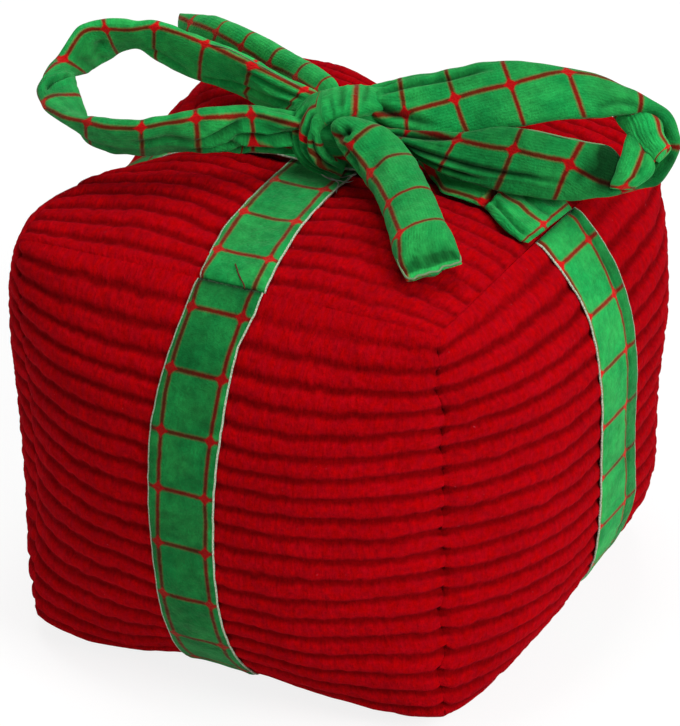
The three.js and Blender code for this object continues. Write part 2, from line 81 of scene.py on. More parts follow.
def make_camera():
    azimuth, elevation, roll = (math.radians(a) for a in (28.0272, 29.732, -1.475))
    distance = 1.1125
    focal_px, centre_x, centre_y = 4442.2, 338.931, 374.141
    flat = math.cos(elevation)
    back = Vector((math.sin(azimuth) * flat, -math.cos(azimuth) * flat, math.sin(elevation)))
    right = Vector((math.cos(azimuth), math.sin(azimuth), 0))
    up = back.cross(right)
    right, up = right * math.cos(roll) + up * math.sin(roll), up * math.cos(roll) - right * math.sin(roll)
    place = Vector((0, 0, CENTRE * MM)) + back * distance
    data = bpy.data.cameras.new("camera")
    data.sensor_fit = "VERTICAL"
    data.sensor_width = data.sensor_height = SENSOR
    data.lens = focal_px / FRAME_HEIGHT * SENSOR
    data.shift_x = (FRAME_WIDTH / 2 - centre_x) / FRAME_HEIGHT
    data.shift_y = (centre_y - FRAME_HEIGHT / 2) / FRAME_HEIGHT
    data.clip_start = 0.05
    data.clip_end = 20
    camera = bpy.data.objects.new("camera", data)
    camera.matrix_world = Matrix.Translation(place) @ Matrix((right, up, back)).transposed().to_4x4()
    scene.collection.objects.link(camera)
    scene.camera = camera


make_camera()


# Smooth seeded noise in two and three dimensions, from -1 to 1, and a smooth step

def noise(place, size, seed):
    """Noise at the places given by a list of coordinates, out of a table with size numbers along each of them."""
    table = np.random.default_rng(seed).uniform(-1, 1, (size,) * len(place))
    cell = [np.floor(c).astype(int) for c in place]
    part = [(c - k) ** 2 * (3 - 2 * (c - k)) for c, k in zip(place, cell)]
    total = 0
    for corner in np.ndindex((2,) * len(place)):
        weight = np.prod([f if step else 1 - f for f, step in zip(part, corner)], axis=0)
        total += weight * table[tuple((k + step) % size for k, step in zip(cell, corner))]
    return total


def noise2(x, y, seed):
    return noise(np.broadcast_arrays(x, y), 64, seed)


def noise3(p, seed):
    return noise(np.moveaxis(p, -1, 0), 32, seed)


def smoothstep(lo, hi, t):
    t = np.clip((t - lo) / (hi - lo), 0, 1)
    return t * t * (3 - 2 * t)


# The stuffed cube

def crown(t, power):
    return 1 - np.abs(t) ** power


def bell(t, width):
    return np.exp(-((t / width) ** 2))


def ramp(t):
    return np.maximum(t, 0) ** 3


# Where the stuffing fills the cube more, or less, than its even crowns: place on the unit cube, reach and shift
FULLNESS = [
    ((-1, -1, -1), 0.45, (-2.2, -1.9, -1.4)),
    ((1, -1, -1), 0.5, (0.5, -0.8, -0.8)),
    ((-0.1, -1, -1), 0.32, (0, 0, 2.4)),
    ((-0.6, -1, -1), 0.35, (0, -0.6, -1.7)),
    ((1, 0.9, -0.95), 0.5, (-1.6, -0.8, 0)),
    ((1, 0.8, -0.78), 0.3, (1.6, 0.8, 0)),
    ((1, 0.8, -0.3), 0.35, (-0.9, -0.4, 0)),
    ((1, 0.15, -1), 0.35, (-1.8, -0.6, 3.2)),
    ((1, 0.4, -0.5), 0.3, (1.7, 0.6, 0)),
    ((1, 0.8, 0.9), 0.75, (3.4, 2.2, 0.6)),
    ((1, 0.3, -0.25), 0.6, (-1.3, 0, 0)),
    ((0, 1, 1), 0.9, (0, 1.4, 1.4)),
    ((-1, -0.5, 0.75), 0.65, (-2.2, 0, 0)),
    ((-1, 0.1, 0.97), 0.38, (3.6, 0, -1.0)),
    ((-1, -0.5, -0.35), 0.55, (1.3, 0, 0)),
]


def stuffed(x, y, z):
    valley = VALLEY_WIDTH / HALF
    cross = 1 - (1 - bell(x, valley)) * (1 - bell(y, valley))
    top = crown(x, TOP_POWER) * crown(y, TOP_POWER) * (TOP_CROWN - VALLEY * cross)
    base = crown(x, BASE_POWER) * crown(y, BASE_POWER) * BASE_CROWN
    pull = EDGE_PULL_WIDTH / HALF
    left_pull = EDGE_PULL * bell(y, pull) * ramp(-x) * ramp(z)
    back_pull = EDGE_PULL * bell(x, pull) * ramp(y) * ramp(z)
    upright = HALF - SEAM_PINCH * (1 - z * z)
    corner = np.abs(x * y * z) ** CORNER_POWER
    point = np.stack([
        x * (upright + SIDE_CROWN * crown(y, SIDE_POWER) * crown(z, SIDE_POWER)) + left_pull,
        y * (upright + SIDE_CROWN * crown(x, SIDE_POWER) * crown(z, SIDE_POWER)) - back_pull,
        z * (HALF_HEIGHT + np.where(z > 0, top, base)) - EDGE_DROP * (left_pull + back_pull),
    ], -1)
    point *= (1 - corner * CORNER_DRAW / HALF)[..., None]
    for spot, reach, shift in FULLNESS:
        away = (x - spot[0]) ** 2 + (y - spot[1]) ** 2 + (z - spot[2]) ** 2
        point += np.exp(-away / reach ** 2)[..., None] * np.array(shift, float)
    # the upright seams wander a little
    side_x, side_y = np.where(x > 0, 1.0, -1.0), np.where(y > 0, 1.0, -1.0)
    wander = SEAM_WANDER * noise2(z * HALF_HEIGHT / 8 + 30, side_x * 3 + side_y + 9, 12) * np.abs(x * y) ** 8
    return point + np.stack([-wander * side_y, wander * side_x, 0 * wander], -1)


FACES = {
    "front": lambda u, v: (u, 0 * u - 1, v),
    "right": lambda u, v: (0 * u + 1, u, v),
    "back": lambda u, v: (-u, 0 * u + 1, v),
    "left": lambda u, v: (0 * u - 1, -u, v),
    "top": lambda u, v: (u, v, 0 * u + 1),
    "base": lambda u, v: (u, -v, 0 * u - 1),
}


def unit(p):
    return p / np.maximum(np.linalg.norm(p, axis=-1, keepdims=True), 1e-9)


def face_point(face, u, v):
    return stuffed(*FACES[face](u, v))


def face_normal(face, u, v):
    e = 1e-3
    du = face_point(face, u + e, v) - face_point(face, u - e, v)
    dv = face_point(face, u, v + e) - face_point(face, u, v - e)
    return unit(np.cross(du, dv))


def lifted(face, u, v, lift):
    """A point of a face moved out along its normal, which turns to the ray from the centre near the seams."""
    p = face_point(face, u, v)
    edge = np.maximum(np.abs(u), np.abs(v))
    w = smoothstep(0.93, 1.0, edge)[..., None]
    n, away = face_normal(face, *np.clip((u, v), -0.999, 0.999)), unit(p)
    turn = np.arccos(np.clip((n * away).sum(-1), -1, 1))
    rounding = np.clip(1 - (1 - edge) * HALF / SEAM_ROUND, 0, 1) ** 2
    lift = lift - SEAM_ROUND / 2 * np.tan(np.minimum(turn, STEEPEST_TURN)) * rounding
    n = unit(n * (1 - w) + away * w)
    return p + n * lift[..., None] + np.array([0, 0, CENTRE])


# Meshes

def make_mesh(name, points, faces, attributes=None, marks=None):
    """A smooth mesh. attributes hold a number or a vector for each point, and marks each face's material."""
    mesh = bpy.data.meshes.new(name)
    mesh.from_pydata((points * MM).tolist(), [], [list(map(int, face)) for face in faces])
    mesh.update()
    mesh.polygons.foreach_set("use_smooth", np.ones(len(mesh.polygons), bool))
    for key, value in (attributes or {}).items():
        kind, field = ("FLOAT", "value") if value.size == len(points) else ("FLOAT_VECTOR", "vector")
        mesh.attributes.new(key, kind, "POINT").data.foreach_set(field, value.astype(np.float32).ravel())
    if marks is not None:
        mesh.polygons.foreach_set("material_index", marks.astype(np.int32))
    mesh.update()
    piece = bpy.data.objects.new(name, mesh)
    scene.collection.objects.link(piece)
    return piece


def slab(name, outer, inner, attributes, flip=False, pale=None):
    """A closed mesh between two equal grids of points, where pale marks the outer grid's faces of the second material,
    which the rim has too."""
    rows, columns = outer.shape[0] - 1, outer.shape[1] - 1
    at = np.arange(outer[..., 0].size).reshape(rows + 1, columns + 1)
    quads = np.stack([at[:-1, :-1], at[:-1, 1:], at[1:, 1:], at[1:, :-1]], -1).reshape(-1, 4)
    rim = np.concatenate([at[0, :-1], at[:-1, -1], at[-1, :0:-1], at[:0:-1, 0]])
    after = np.roll(rim, -1)
    rim_quads = np.stack([after, rim, rim + at.size, after + at.size], -1)
    turn = -1 if flip else 1
    faces = np.concatenate([quads[:, ::turn], (quads + at.size)[:, ::-turn], rim_quads[:, ::turn]])
    both = {key: np.stack([value, value]) for key, value in attributes.items()}
    marks = None if pale is None else np.concatenate([pale, 0 * pale, np.ones(len(rim))])
    return make_mesh(name, np.stack([outer, inner]).reshape(-1, 3), faces, both, marks)


def dress(piece, body, nodes=(), materials=()):
    for material in materials:
        piece.data.materials.append(material)
    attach(piece, body)
    if nodes:
        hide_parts(*nodes)
    return piece


# Materials

class Nodes:
    """A short way to write the nodes of a new material, or of a world."""

    def __init__(self, name, owner=None):
        self.owner = owner or bpy.data.materials.new(name)
        self.owner.use_nodes = True
        self.tree = self.owner.node_tree
        self.shader = self.tree.nodes.get("Principled BSDF")

    def put(self, kind, inputs=(), out=0, **settings):
        node = self.tree.nodes.new(kind)
        for key, value in settings.items():
            setattr(node, key, value)
        for key, value in dict(inputs).items():
            self.set(node.inputs[key], value)
        return node.outputs[out]

    def set(self, socket, value):
        if isinstance(value, bpy.types.NodeSocket):
            self.tree.links.new(value, socket)
        else:
            socket.default_value = value

    def math(self, operation, a, b=0.0, c=0.0):
        return self.put("ShaderNodeMath", {0: a, 1: b, 2: c}, operation=operation)

    def plus(self, a, b):
        return self.math("ADD", a, b)

    def times(self, a, b, more=0.0):
        return self.math("MULTIPLY_ADD", a, b, more)

    def mix(self, factor, a, b):
        a = (*a, 1) if isinstance(a, tuple) else a
        b = (*b, 1) if isinstance(b, tuple) else b
        return self.put("ShaderNodeMix", {0: factor, 6: a, 7: b}, out=2, data_type="RGBA")

    def scale(self, colour, factor):
        return self.put("ShaderNodeVectorMath", {0: colour, "Scale": factor}, operation="SCALE")

    def step(self, value, lo, hi):
        return self.put("ShaderNodeMapRange", {0: value, 1: lo, 2: hi, 3: 0.0, 4: 1.0}, interpolation_type="SMOOTHSTEP")

    def below(self, value, lo, hi):
        return self.math("SUBTRACT", 1.0, self.step(value, lo, hi))

    def noise(self, vector, scale, detail=2.0, rough=0.5):
        return self.put("ShaderNodeTexNoise", {"Vector": vector, "Scale": scale, "Detail": detail, "Roughness": rough})

    def pile(self, vector, x, y, detail=3.0, rough=0.6, z=1.0):
        """Noise drawn out by different amounts along the vector's axes."""
        stretched = self.put("ShaderNodeVectorMath", {0: vector, 1: (x, y, z)}, operation="MULTIPLY")
        return self.noise(stretched, 1.0, detail, rough)

    def attribute(self, name, out=2):
        return self.put("ShaderNodeAttribute", out=out, attribute_name=name)

    def bump(self, height, strength, distance):
        return self.put("ShaderNodeBump", {"Height": height, "Strength": strength, "Distance": distance})

    def background_rays(self):
        """1 for the rays that show the background: the camera's, and those of gloss and of glass."""
        path = self.put("ShaderNodeLightPath").node
        seen = self.math("MAXIMUM", path.outputs["Is Camera Ray"], path.outputs["Is Glossy Ray"])
        return self.math("MAXIMUM", seen, path.outputs["Is Transmission Ray"])

    def finish(self, colour, roughness, normal=None, sheen=0.0, tint=(1, 1, 1), sheen_rough=0.4, specular=0.2):
        inputs = {"Base Color": (*colour, 1) if isinstance(colour, tuple) else colour, "Roughness": roughness,
                  "Sheen Weight": sheen, "Sheen Tint": (*tint, 1), "Sheen Roughness": sheen_rough,
                  "Specular IOR Level": specular}
        if normal is not None:
            inputs["Normal"] = normal
        for key, value in inputs.items():
            self.set(self.shader.inputs[key], value)
        return self.owner


def corduroy():
    """Red pile in ribs: cloth holds the place along and across the ribs, and rib the height of the rib, less painted
    shade in the notches at the seams.
    """
    n = Nodes("red_corduroy")
    cloth = n.attribute("cloth", 1)
    streak = n.pile(cloth, 1.15, 0.28)
    tuft = n.noise(cloth, 0.8, 4.0, 0.65)
    shade = n.times(n.times(streak, 0.7, 0.65), n.times(tuft, 0.9, 0.55))
    shade = n.times(shade, n.times(n.pile(cloth, 0.06, 0.1), 0.56, 0.72))
    crest = n.mix(n.step(n.pile(cloth, 0.55, 0.3), 0.3, 0.7), (0.375, 0.0003, 0.0012), (0.335, 0.001, 0.005))
    # low rib takes a darker red: partly the thinner pile in the grooves, partly painted shade in them
    ragged = n.plus(n.attribute("rib"), n.times(tuft, 0.36, -0.18))
    colour = n.scale(n.mix(n.step(ragged, -0.08, 0.92), (0.175, 0.0003, 0.0013), crest), shade)
    lint = n.step(n.noise(cloth, 0.9), 0.745, 0.79)
    colour = n.mix(n.times(lint, 0.3), colour, (0.55, 0.1, 0.13))
    normal = n.bump(n.times(streak, 1.0, tuft), 0.5, 0.0008)
    return n.finish(colour, 1.0, normal, sheen=0.12, tint=(1.0, 0.02, 0.07), sheen_rough=0.5, specular=0.02)


def check(name, cell, knit):
    """Green velour with a windowpane of red lines and nodes: cloth holds the place across and along the strip, and
    dark the painted shade of folds, creases and parts turned from the light, painted light below zero, with some
    random mottling."""
    n = Nodes(name)
    cloth = n.attribute("cloth", 1)
    split = n.put("ShaderNodeSeparateXYZ", {0: cloth}).node
    shift = n.times(n.noise(cloth, 0.06), 0.8, -0.4)
    across, along = (n.math("PINGPONG", n.plus(split.outputs[k], shift), size / 2)
                     for k, size in ((0, cell), (1, CHECK_ALONG)))
    soft = n.times(n.noise(cloth, 1.6, 3.0, 0.6), 0.44, -0.22)
    line = n.plus(n.math("MINIMUM", across, along), soft)
    star = n.plus(n.plus(n.math("POWER", across, 0.72), n.math("POWER", along, 0.72)), soft)
    rim = n.math("MAXIMUM", n.below(line, 0.5, 1.05), n.below(star, 1.85, 2.3))
    fine = n.pile(cloth, 1.5, 1.3, 4.0, 0.65)
    if knit:
        turns = n.times(n.noise(cloth, 0.5), 5.0, n.times(split.outputs[0], KNIT))
        fine = n.times(n.math("SINE", turns), 0.075, fine)
    blotch = n.step(n.pile(cloth, 0.09, 0.09, 3.0, 0.55), 0.3, 0.7)
    green = n.scale(n.mix(blotch, (0.0065, 0.245, 0.052), (0.019, 0.305, 0.062)), n.times(fine, 0.6, 0.7))
    green = n.mix(n.step(n.pile(cloth, 0.45, 0.3, 4.0), 0.25, 0.75), n.scale(green, 0.8), n.scale(green, 1.2))
    aged = n.step(n.noise(cloth, 0.045), 0.42, 0.62)
    red = n.mix(aged, (0.19, 0.004, 0.0025), (0.105, 0.0135, 0.003))
    colour = n.mix(n.times(rim, 0.6), green, (0.19, 0.085, 0.03))
    colour = n.mix(n.times(n.below(line, 0.26, 0.66), 0.97), colour, red)
    colour = n.mix(n.below(star, 1.6, 1.95), colour, (0.47, 0.003, 0.005))
    # painted shade from the dark attribute, and painted light where it is below zero
    colour = n.scale(colour, n.math("SUBTRACT", 1.0, n.attribute("dark")))
    normal = n.bump(n.times(n.pile(cloth, 0.9, 0.8, 3.0, 0.7), 1.2, fine), 0.6, 0.0006)
    return n.finish(colour, 0.95, normal, sheen=0.2, tint=(0.5, 1.0, 0.55), specular=0.05)


def raw_edge():
    n = Nodes("raw_edge")
    fray = n.pile(n.attribute("cloth", 1), 3.0, 2.2)
    colour = n.mix(n.step(fray, 0.35, 0.62), (0.20, 0.30, 0.17), (0.56, 0.60, 0.48))
    return n.finish(colour, 0.95, n.bump(fray, 0.6, 0.0004), specular=0.1)


def thread(name, colour):
    n = Nodes(name)
    twist = n.noise(n.put("ShaderNodeTexCoord", out=3), 900.0, 2.0)
    return n.finish(n.mix(n.times(twist, 0.7, 0.65), tuple(c * 0.5 for c in colour), colour), 0.7)


RED = corduroy()
GREEN = check("green_velour", CHECK_ACROSS, False)
GREEN_TUBE = check("green_velour_tube", TUBE_CHECK_ACROSS, True)
EDGE = raw_edge()
RED_THREAD = thread("dark_red_thread", (0.09, 0.002, 0.003))
GREEN_THREAD = thread("pale_green_thread", (0.15, 0.25, 0.12))
WHITE_THREAD = thread("white_thread", (0.33, 0.35, 0.3))


# Corduroy panels

def layered(u, v, seed, layers):
    """Noise over a face in layers, each a row of its amount, its sizes, the places it starts at and its seed's step."""
    return sum(amount * noise2(u * HALF / size_u + start_u, v * HALF_HEIGHT / size_v + start_v, seed + step)
               for amount, size_u, size_v, start_u, start_v, step in layers)


def rib_height(face, u, v):
    """How high the pile stands, from 0 between two ribs to 1 on a rib. The ribs sway a little, as the cloth does."""
    seed = 10 + list(FACES).index(face)
    sway = layered(u, v, seed, ((0.12, 24, 22, 9, 9, 0), (0.05, 6, 7, 3, 5, 20), (0.05, 2.1, 3, 3, 5, 25)))
    wave = (v + 1) / 2 * RIBS + RIB_START + sway
    return 1 - np.sin(np.pi / 2 * np.abs(2 * (wave - np.floor(wave)) - 1)) ** 4


def seam_heights(face, u, v, height):
    """The rib height as the seams leave it: softer where the cloth is pulled flat, and level along the seams that
    the ribs run beside."""
    below = (1 - v) * HALF_HEIGHT
    if face == "top":
        flat = 0.4 * bell(u - 0.75, 0.35) * bell(v + 0.65, 0.5)
    elif face == "front":
        flat = 0.5 * bell(below, 8) * smoothstep(-0.5, 0.2, u)
    else:
        flat = 0.3 * bell(below, 6)
    height = 1 - (1 - height) * (1 - flat)
    beside = bell((1 - np.abs(v)) * HALF_HEIGHT, 0.9)
    if face in ("top", "base"):
        beside = np.maximum(beside, bell((1 - np.abs(u)) * HALF, 0.7))
    return height + (0.85 - height) * beside


SHARP_RIM = np.radians(70)
PANEL_WALL = 3.4
PANEL_COLUMNS, PANEL_ROWS = 210, 300
OVER_FLOOR = 0.02


def panel(face):
    u, v = np.meshgrid(np.linspace(-1, 1, PANEL_COLUMNS + 1), np.linspace(-1, 1, PANEL_ROWS + 1))
    edge_u = (1 - np.abs(u)) * HALF
    edge_v = (1 - np.abs(v)) * HALF_HEIGHT
    edge = np.minimum(edge_u, edge_v)
    height = seam_heights(face, u, v, rib_height(face, u, v))
    seed = 40 + list(FACES).index(face)
    sizes = (0.2, 2.6, 1.9, 50, 50, 0), (0.12, 1.1, 0.9, 50, 50, 5), (0.35, 13, 13, 50, 50, 7)
    lumps = 0.3 + layered(u, v, seed, sizes)
    fade = 0.5 + 0.5 * smoothstep(0.0, 2.0, edge)
    lift = (height - 1) * RIB_DEPTH * fade + lumps * smoothstep(0.5, 5, edge)
    # gathers where the stuffing pulls the seams
    run = np.where(edge_u < edge_v, v * HALF_HEIGHT, u * HALF)
    gather = noise2(run / 6.5 + 20, 3.3, seed + 13)
    lift += 0.55 * gather * np.exp(-edge / 6.0) * smoothstep(0.2, 2.5, edge)
    seam_edge = edge if face in ("top", "base") else edge_v
    lift += (0.25 * noise3(lifted(face, u, v, 0) / 2.4, 19) - 0.05) * bell(seam_edge, 1.1)
    if face not in ("top", "base"):
        lift -= (0.18 + 1.3 * (1 - height) ** 2) * np.exp(-(edge_u / 1.0) ** 1.5)
    outer = lifted(face, u, v, lift)
    if face == "base":
        outer[..., 2] = np.maximum(outer[..., 2], OVER_FLOOR)
    inner = lifted(face, u * 0.997, v * 0.997, -PANEL_WALL)
    cloth = np.stack([u * HALF, v * HALF_HEIGHT, 0 * u], -1) + 100 + 40 * seed
    # painted shade in the seams' notches where the grooves meet them, taken off the rib for the groove colour
    seam_notch_shade = bell(edge_u, 0.9) * smoothstep(0.1, 0.7, 1 - height)
    piece = slab(f"{face}_corduroy", outer, inner, {"cloth": cloth, "rib": height - 0.9 * seam_notch_shade})
    piece.data.set_sharp_from_angle(angle=SHARP_RIM)
    return piece


for face_name in FACES:
    dress(panel(face_name), "box", [f"{face_name}_panel"], [RED])


# Ribbons

def interp(x, table):
    xs, ys = zip(*table)
    return np.interp(x, xs, ys)


def arc(points):
    """Length along a row of points."""
    steps = np.linalg.norm(np.diff(points, axis=0), axis=1)
    return np.concatenate([[0], np.cumsum(steps)])


RIBBON_LIFT = 0.5
RIBBON_WALL = 0.6
RIBBON_SUNK = 0.15
RIBBON_COLUMNS, RIBBON_ROWS = 28, 220
RAW_SHARE = 0.02
SEAM_TO_SEAM = (-0.9995, 0.9995)


def strip(name, left, right, lines, cross_at, dark=0.0, margin=0.0, pitch=CHECK_ALONG, spans=SEAM_TO_SEAM, lift=None):
    """A flat strip on the face that its name begins with, in place of the ribbon of that name. left and right are
    tables of its edges along the strip, lines the places of its two long check lines, and cross_at the place of one
    cross line, as parameters of the face. dark is painted shade over the whole strip, painted light below zero, for
    how the light falls on its face. margin is how far the cloth past the second line is pressed down and darkened
    with painted shade, and pitch the way between cross lines. A strip with a lift of its own runs along u, the others
    along v."""
    face, upright = name.split("_")[0], lift is None
    t = np.linspace(*spans, RIBBON_ROWS + 1)
    s = np.concatenate([[0], np.linspace(RAW_SHARE, 1 - RAW_SHARE, RIBBON_COLUMNS - 1), [1]])
    share, run = np.meshgrid(s, t)
    lo, hi = interp(run, left), interp(run, right)
    seed = sum(ord(c) for c in name)
    jag = 0.0022 * noise2(run * 22 + 30, 2.2, seed)
    side = lo + (hi - lo) * share + jag * (2 * np.abs(share - 0.5)) ** 3
    u, v = (side, run) if upright else (run, side)
    edge_mm = np.minimum(share, 1 - share) * (hi - lo) * HALF
    end_mm = np.minimum(np.abs(run - spans[0]), np.abs(run - spans[1])) * HALF
    # place in the print, from the first long line
    first, second = interp(run, lines[0]), interp(run, lines[1])
    x = (side - first) / (second - first) * CHECK_ACROSS
    beyond = x - CHECK_ACROSS
    # the strip spans the ribs, and dips a little between them
    base = RIBBON_LIFT - margin * 0.35 * bell(beyond - 1.2, 0.7)
    base += -0.07 * (1 - rib_height(face, u, v)) if upright else lift(u, v, share)
    puff = 0.25 * noise2(run * 9 + 12, share * 2.5 + 5, seed + 3)
    puff += 0.12 * noise2(run * 30 + 12, share * 5 + 5, seed + 4)
    base += puff * smoothstep(0.2, 2.0, edge_mm)
    tuck = 0.5 * bell(end_mm, 0.9)
    outer = lifted(face, u, v, base + RIBBON_WALL * (0.3 + 0.7 * smoothstep(0, 1.6, edge_mm)) - tuck)
    inner = lifted(face, u, v, base - tuck - RIBBON_SUNK)
    # painted shade over the strip, in the folds at its ends and past the margin's crease, with random mottling
    shade = dark + 0.55 * bell(end_mm, 0.55) + 0.15 * noise2(run * 14 + 5, share * 3 + 9, seed + 8)
    shade += 0.1 * noise2(run * 45 + 5, share * 9 + 9, seed + 9)
    shade += margin * (0.47 * smoothstep(0.5, 1.3, beyond) + 0.35 * bell(beyond - 1.2, 0.5))
    length = arc(outer[:, RIBBON_COLUMNS // 2])
    y = (length - np.interp(cross_at, t, length))[:, None] * CHECK_ALONG / pitch + 0 * x
    cloth = np.stack([x + CHECK_ACROSS * 4, y + CHECK_ALONG * 20, 0 * x + seed % 17], -1)
    column = np.tile(np.arange(RIBBON_COLUMNS), RIBBON_ROWS)
    pale = (column == 0) | (column == RIBBON_COLUMNS - 1)
    piece = slab(name, outer, inner, {"cloth": cloth, "dark": shade}, not upright, pale)
    dress(piece, "box", [name.replace("strip", "ribbon")], [GREEN, EDGE])


# dark is painted shade on the front strip and painted light on the right strip, for how the light falls on them
strip("front_strip",
      [(-0.92, -0.21), (-0.675, -0.185), (-0.37, -0.185), (0, -0.197), (0.15, -0.19), (0.43, -0.174), (0.68, -0.14),
       (0.88, -0.111), (1, -0.1)],
      [(-0.9, 0.118), (-0.65, 0.116), (-0.43, 0.114), (-0.11, 0.114), (0.11, 0.124), (0.43, 0.156), (0.61, 0.166),
       (0.81, 0.17), (0.93, 0.2), (1, 0.2)],
      ([(-0.9, -0.15), (-0.13, -0.15), (0.155, -0.132), (0.43, -0.116), (0.685, -0.105), (0.916, -0.079)],
       [(-0.9, 0.08), (-0.13, 0.078), (0.155, 0.09), (0.42, 0.112), (0.67, 0.131), (0.9, 0.151)]),
      0.42, dark=0.38)
strip("right_strip",
      [(-1, 0.045), (-0.8, -0.045), (-0.63, -0.12), (-0.45, -0.176), (-0.3, -0.196), (0, -0.206), (0.125, -0.21),
       (0.45, -0.2), (0.685, -0.165), (0.85, -0.165), (1, -0.165)],
      [(-1, 0.17), (-0.57, 0.165), (-0.4, 0.195), (-0.19, 0.165), (0.12, 0.145), (0.44, 0.135), (0.67, 0.15),
       (0.84, 0.165), (1, 0.17)],
      ([(-1, 0.039), (-0.8, -0.051), (-0.63, -0.126), (-0.45, -0.182), (-0.3, -0.202), (0, -0.21), (0.125, -0.213),
        (0.45, -0.202), (0.685, -0.165), (1, -0.15)],
       [(-1, 0.07), (-0.6, 0.058), (-0.35, 0.065), (-0.1, 0.045), (0.157, 0.018), (0.415, 0.034), (0.658, 0.058),
        (1, 0.1)]),
      0.435, dark=-0.25, margin=1.0, pitch=14.5)
strip("back_strip", [(-1, -0.16), (1, -0.15)], [(-1, 0.15), (1, 0.165)],
      ([(-1, -0.12), (1, -0.11)], [(-1, 0.11), (1, 0.125)]), 0.3)
strip("left_strip", [(-1, -0.15), (1, -0.165)], [(-1, 0.165), (1, 0.15)],
      ([(-1, -0.11), (1, -0.125)], [(-1, 0.125), (1, 0.11)]), 0.2)
strip("top_strip_along",
      [(-1, -0.1), (-0.7, -0.141), (-0.29, -0.135), (0.3, -0.15), (1, -0.15)],
      [(-0.96, 0.201), (-0.6, 0.165), (0, 0.16), (1, 0.15)],
      ([(-0.88, -0.09), (-0.576, -0.115), (-0.3, -0.115), (1, -0.11)],
       [(-0.9, 0.149), (-0.61, 0.127), (-0.3, 0.12), (1, 0.11)]),
      -0.576)


HALF_RIBBON = 0.167


def across_lift(u, v, share):
    """The ribbon across climbs over the ribbon along, and puffs up and crumples past it."""
    climb = np.clip(2.2 - np.abs(u) / HALF_RIBBON, 0, 1) * 1.6
    out = np.clip((u - HALF_RIBBON) / 0.83, 0, 1)
    puff = 2.6 * np.sin(np.pi * out) * (0.55 + 0.45 * np.sin(np.pi * share))
    return climb + puff + 0.9 * noise2(u * 11 + 5, v * 9 + 5, 91) * smoothstep(0.2, 0.45, u)


# dark is painted light over the whole across strip
strip("top_strip_across",
      [(-1, -0.155), (0.3, -0.15), (0.6, -0.12), (0.85, -0.15), (0.96, -0.183), (1, -0.183)],
      [(-1, 0.155), (0.5, 0.15), (0.85, 0.165), (1, 0.184)],
      ([(-1, -0.12), (0.5, -0.11), (1, -0.13)], [(-1, 0.12), (0.5, 0.11), (1, 0.13)]),
      0.7, dark=-0.3, spans=(-0.9995, 0.34), lift=across_lift)


# The bow. Its arms and wrap are flattened tubes, each given by its two edges at stops along it, from the knot's centre.

KNOT_HALF = (11.2, 9.6, 9.4)
KNOT_SUNK = 1.8
RIBBONS_THICK = 2 * (0.3 + 1.4)
CROSS_TOP = (face_point("top", np.array(0.0), np.array(0.0)) * (1 + RIBBONS_THICK / HALF))[2] + CENTRE
KNOT = np.array([5.8, -5.8, CROSS_TOP + KNOT_HALF[2] - KNOT_SUNK])
KNOT_TURN = math.radians(17.5)
KNOT_AXES = np.array([
    [math.cos(KNOT_TURN), math.sin(KNOT_TURN), 0], [-math.sin(KNOT_TURN), math.cos(KNOT_TURN), 0], [0, 0, 1]])

LEFT_EDGES = [
    (-6.5, 2, 6.2, -11.3, 1.3, -2.6), (-14.2, 3.3, 7.8, -20.2, 7.7, -4), (-28.1, 6.8, 9.7, -33.2, 14.2, -4.8),
    (-42.8, 10.9, 10.6, -47.8, 17.8, -4.1), (-57.8, 12.7, 11.6, -61.6, 19.6, -2.5),
    (-64.1, 10.8, 10.9, -66.9, 19.7, 0.3), (-70.5, 8.9, 10.9, -72.3, 17.8, -1), (-75.7, 5.3, 10, -75.5, 14.1, -3.6),
    (-78, -0.5, 4.6, -77.5, 9, -4.6), (-77.6, -8.4, 3.5, -76.7, 2.9, -3.1), (-75.8, -15.9, 2.7, -71.4, -4.6, -1.3),
    (-71, -21.3, 2, -66.9, -9.9, -1.3), (-63.1, -26.4, 2.7, -62.9, -15.1, -3.8),
    (-55.4, -28.2, 4.1, -58.7, -19.6, -6), (-47.9, -29.9, 5.6, -51.9, -21.8, -5.8),
    (-38.9, -29.6, 7.3, -43.4, -21.5, -5.2), (-33.3, -27.4, 8.7, -37.3, -19.9, -4.4),
    (-26, -23.7, 10.2, -29.1, -17.2, -3.7), (-21.5, -19.1, 9.9, -23.9, -14.2, -4.1),
    (-16.6, -14.6, 9.3, -18.5, -11, -4.6), (-12, -10.2, 6.8, -13.6, -7.8, -4.8), (-5.6, -5, 3.6, -8.4, -3.2, -4.8),
]
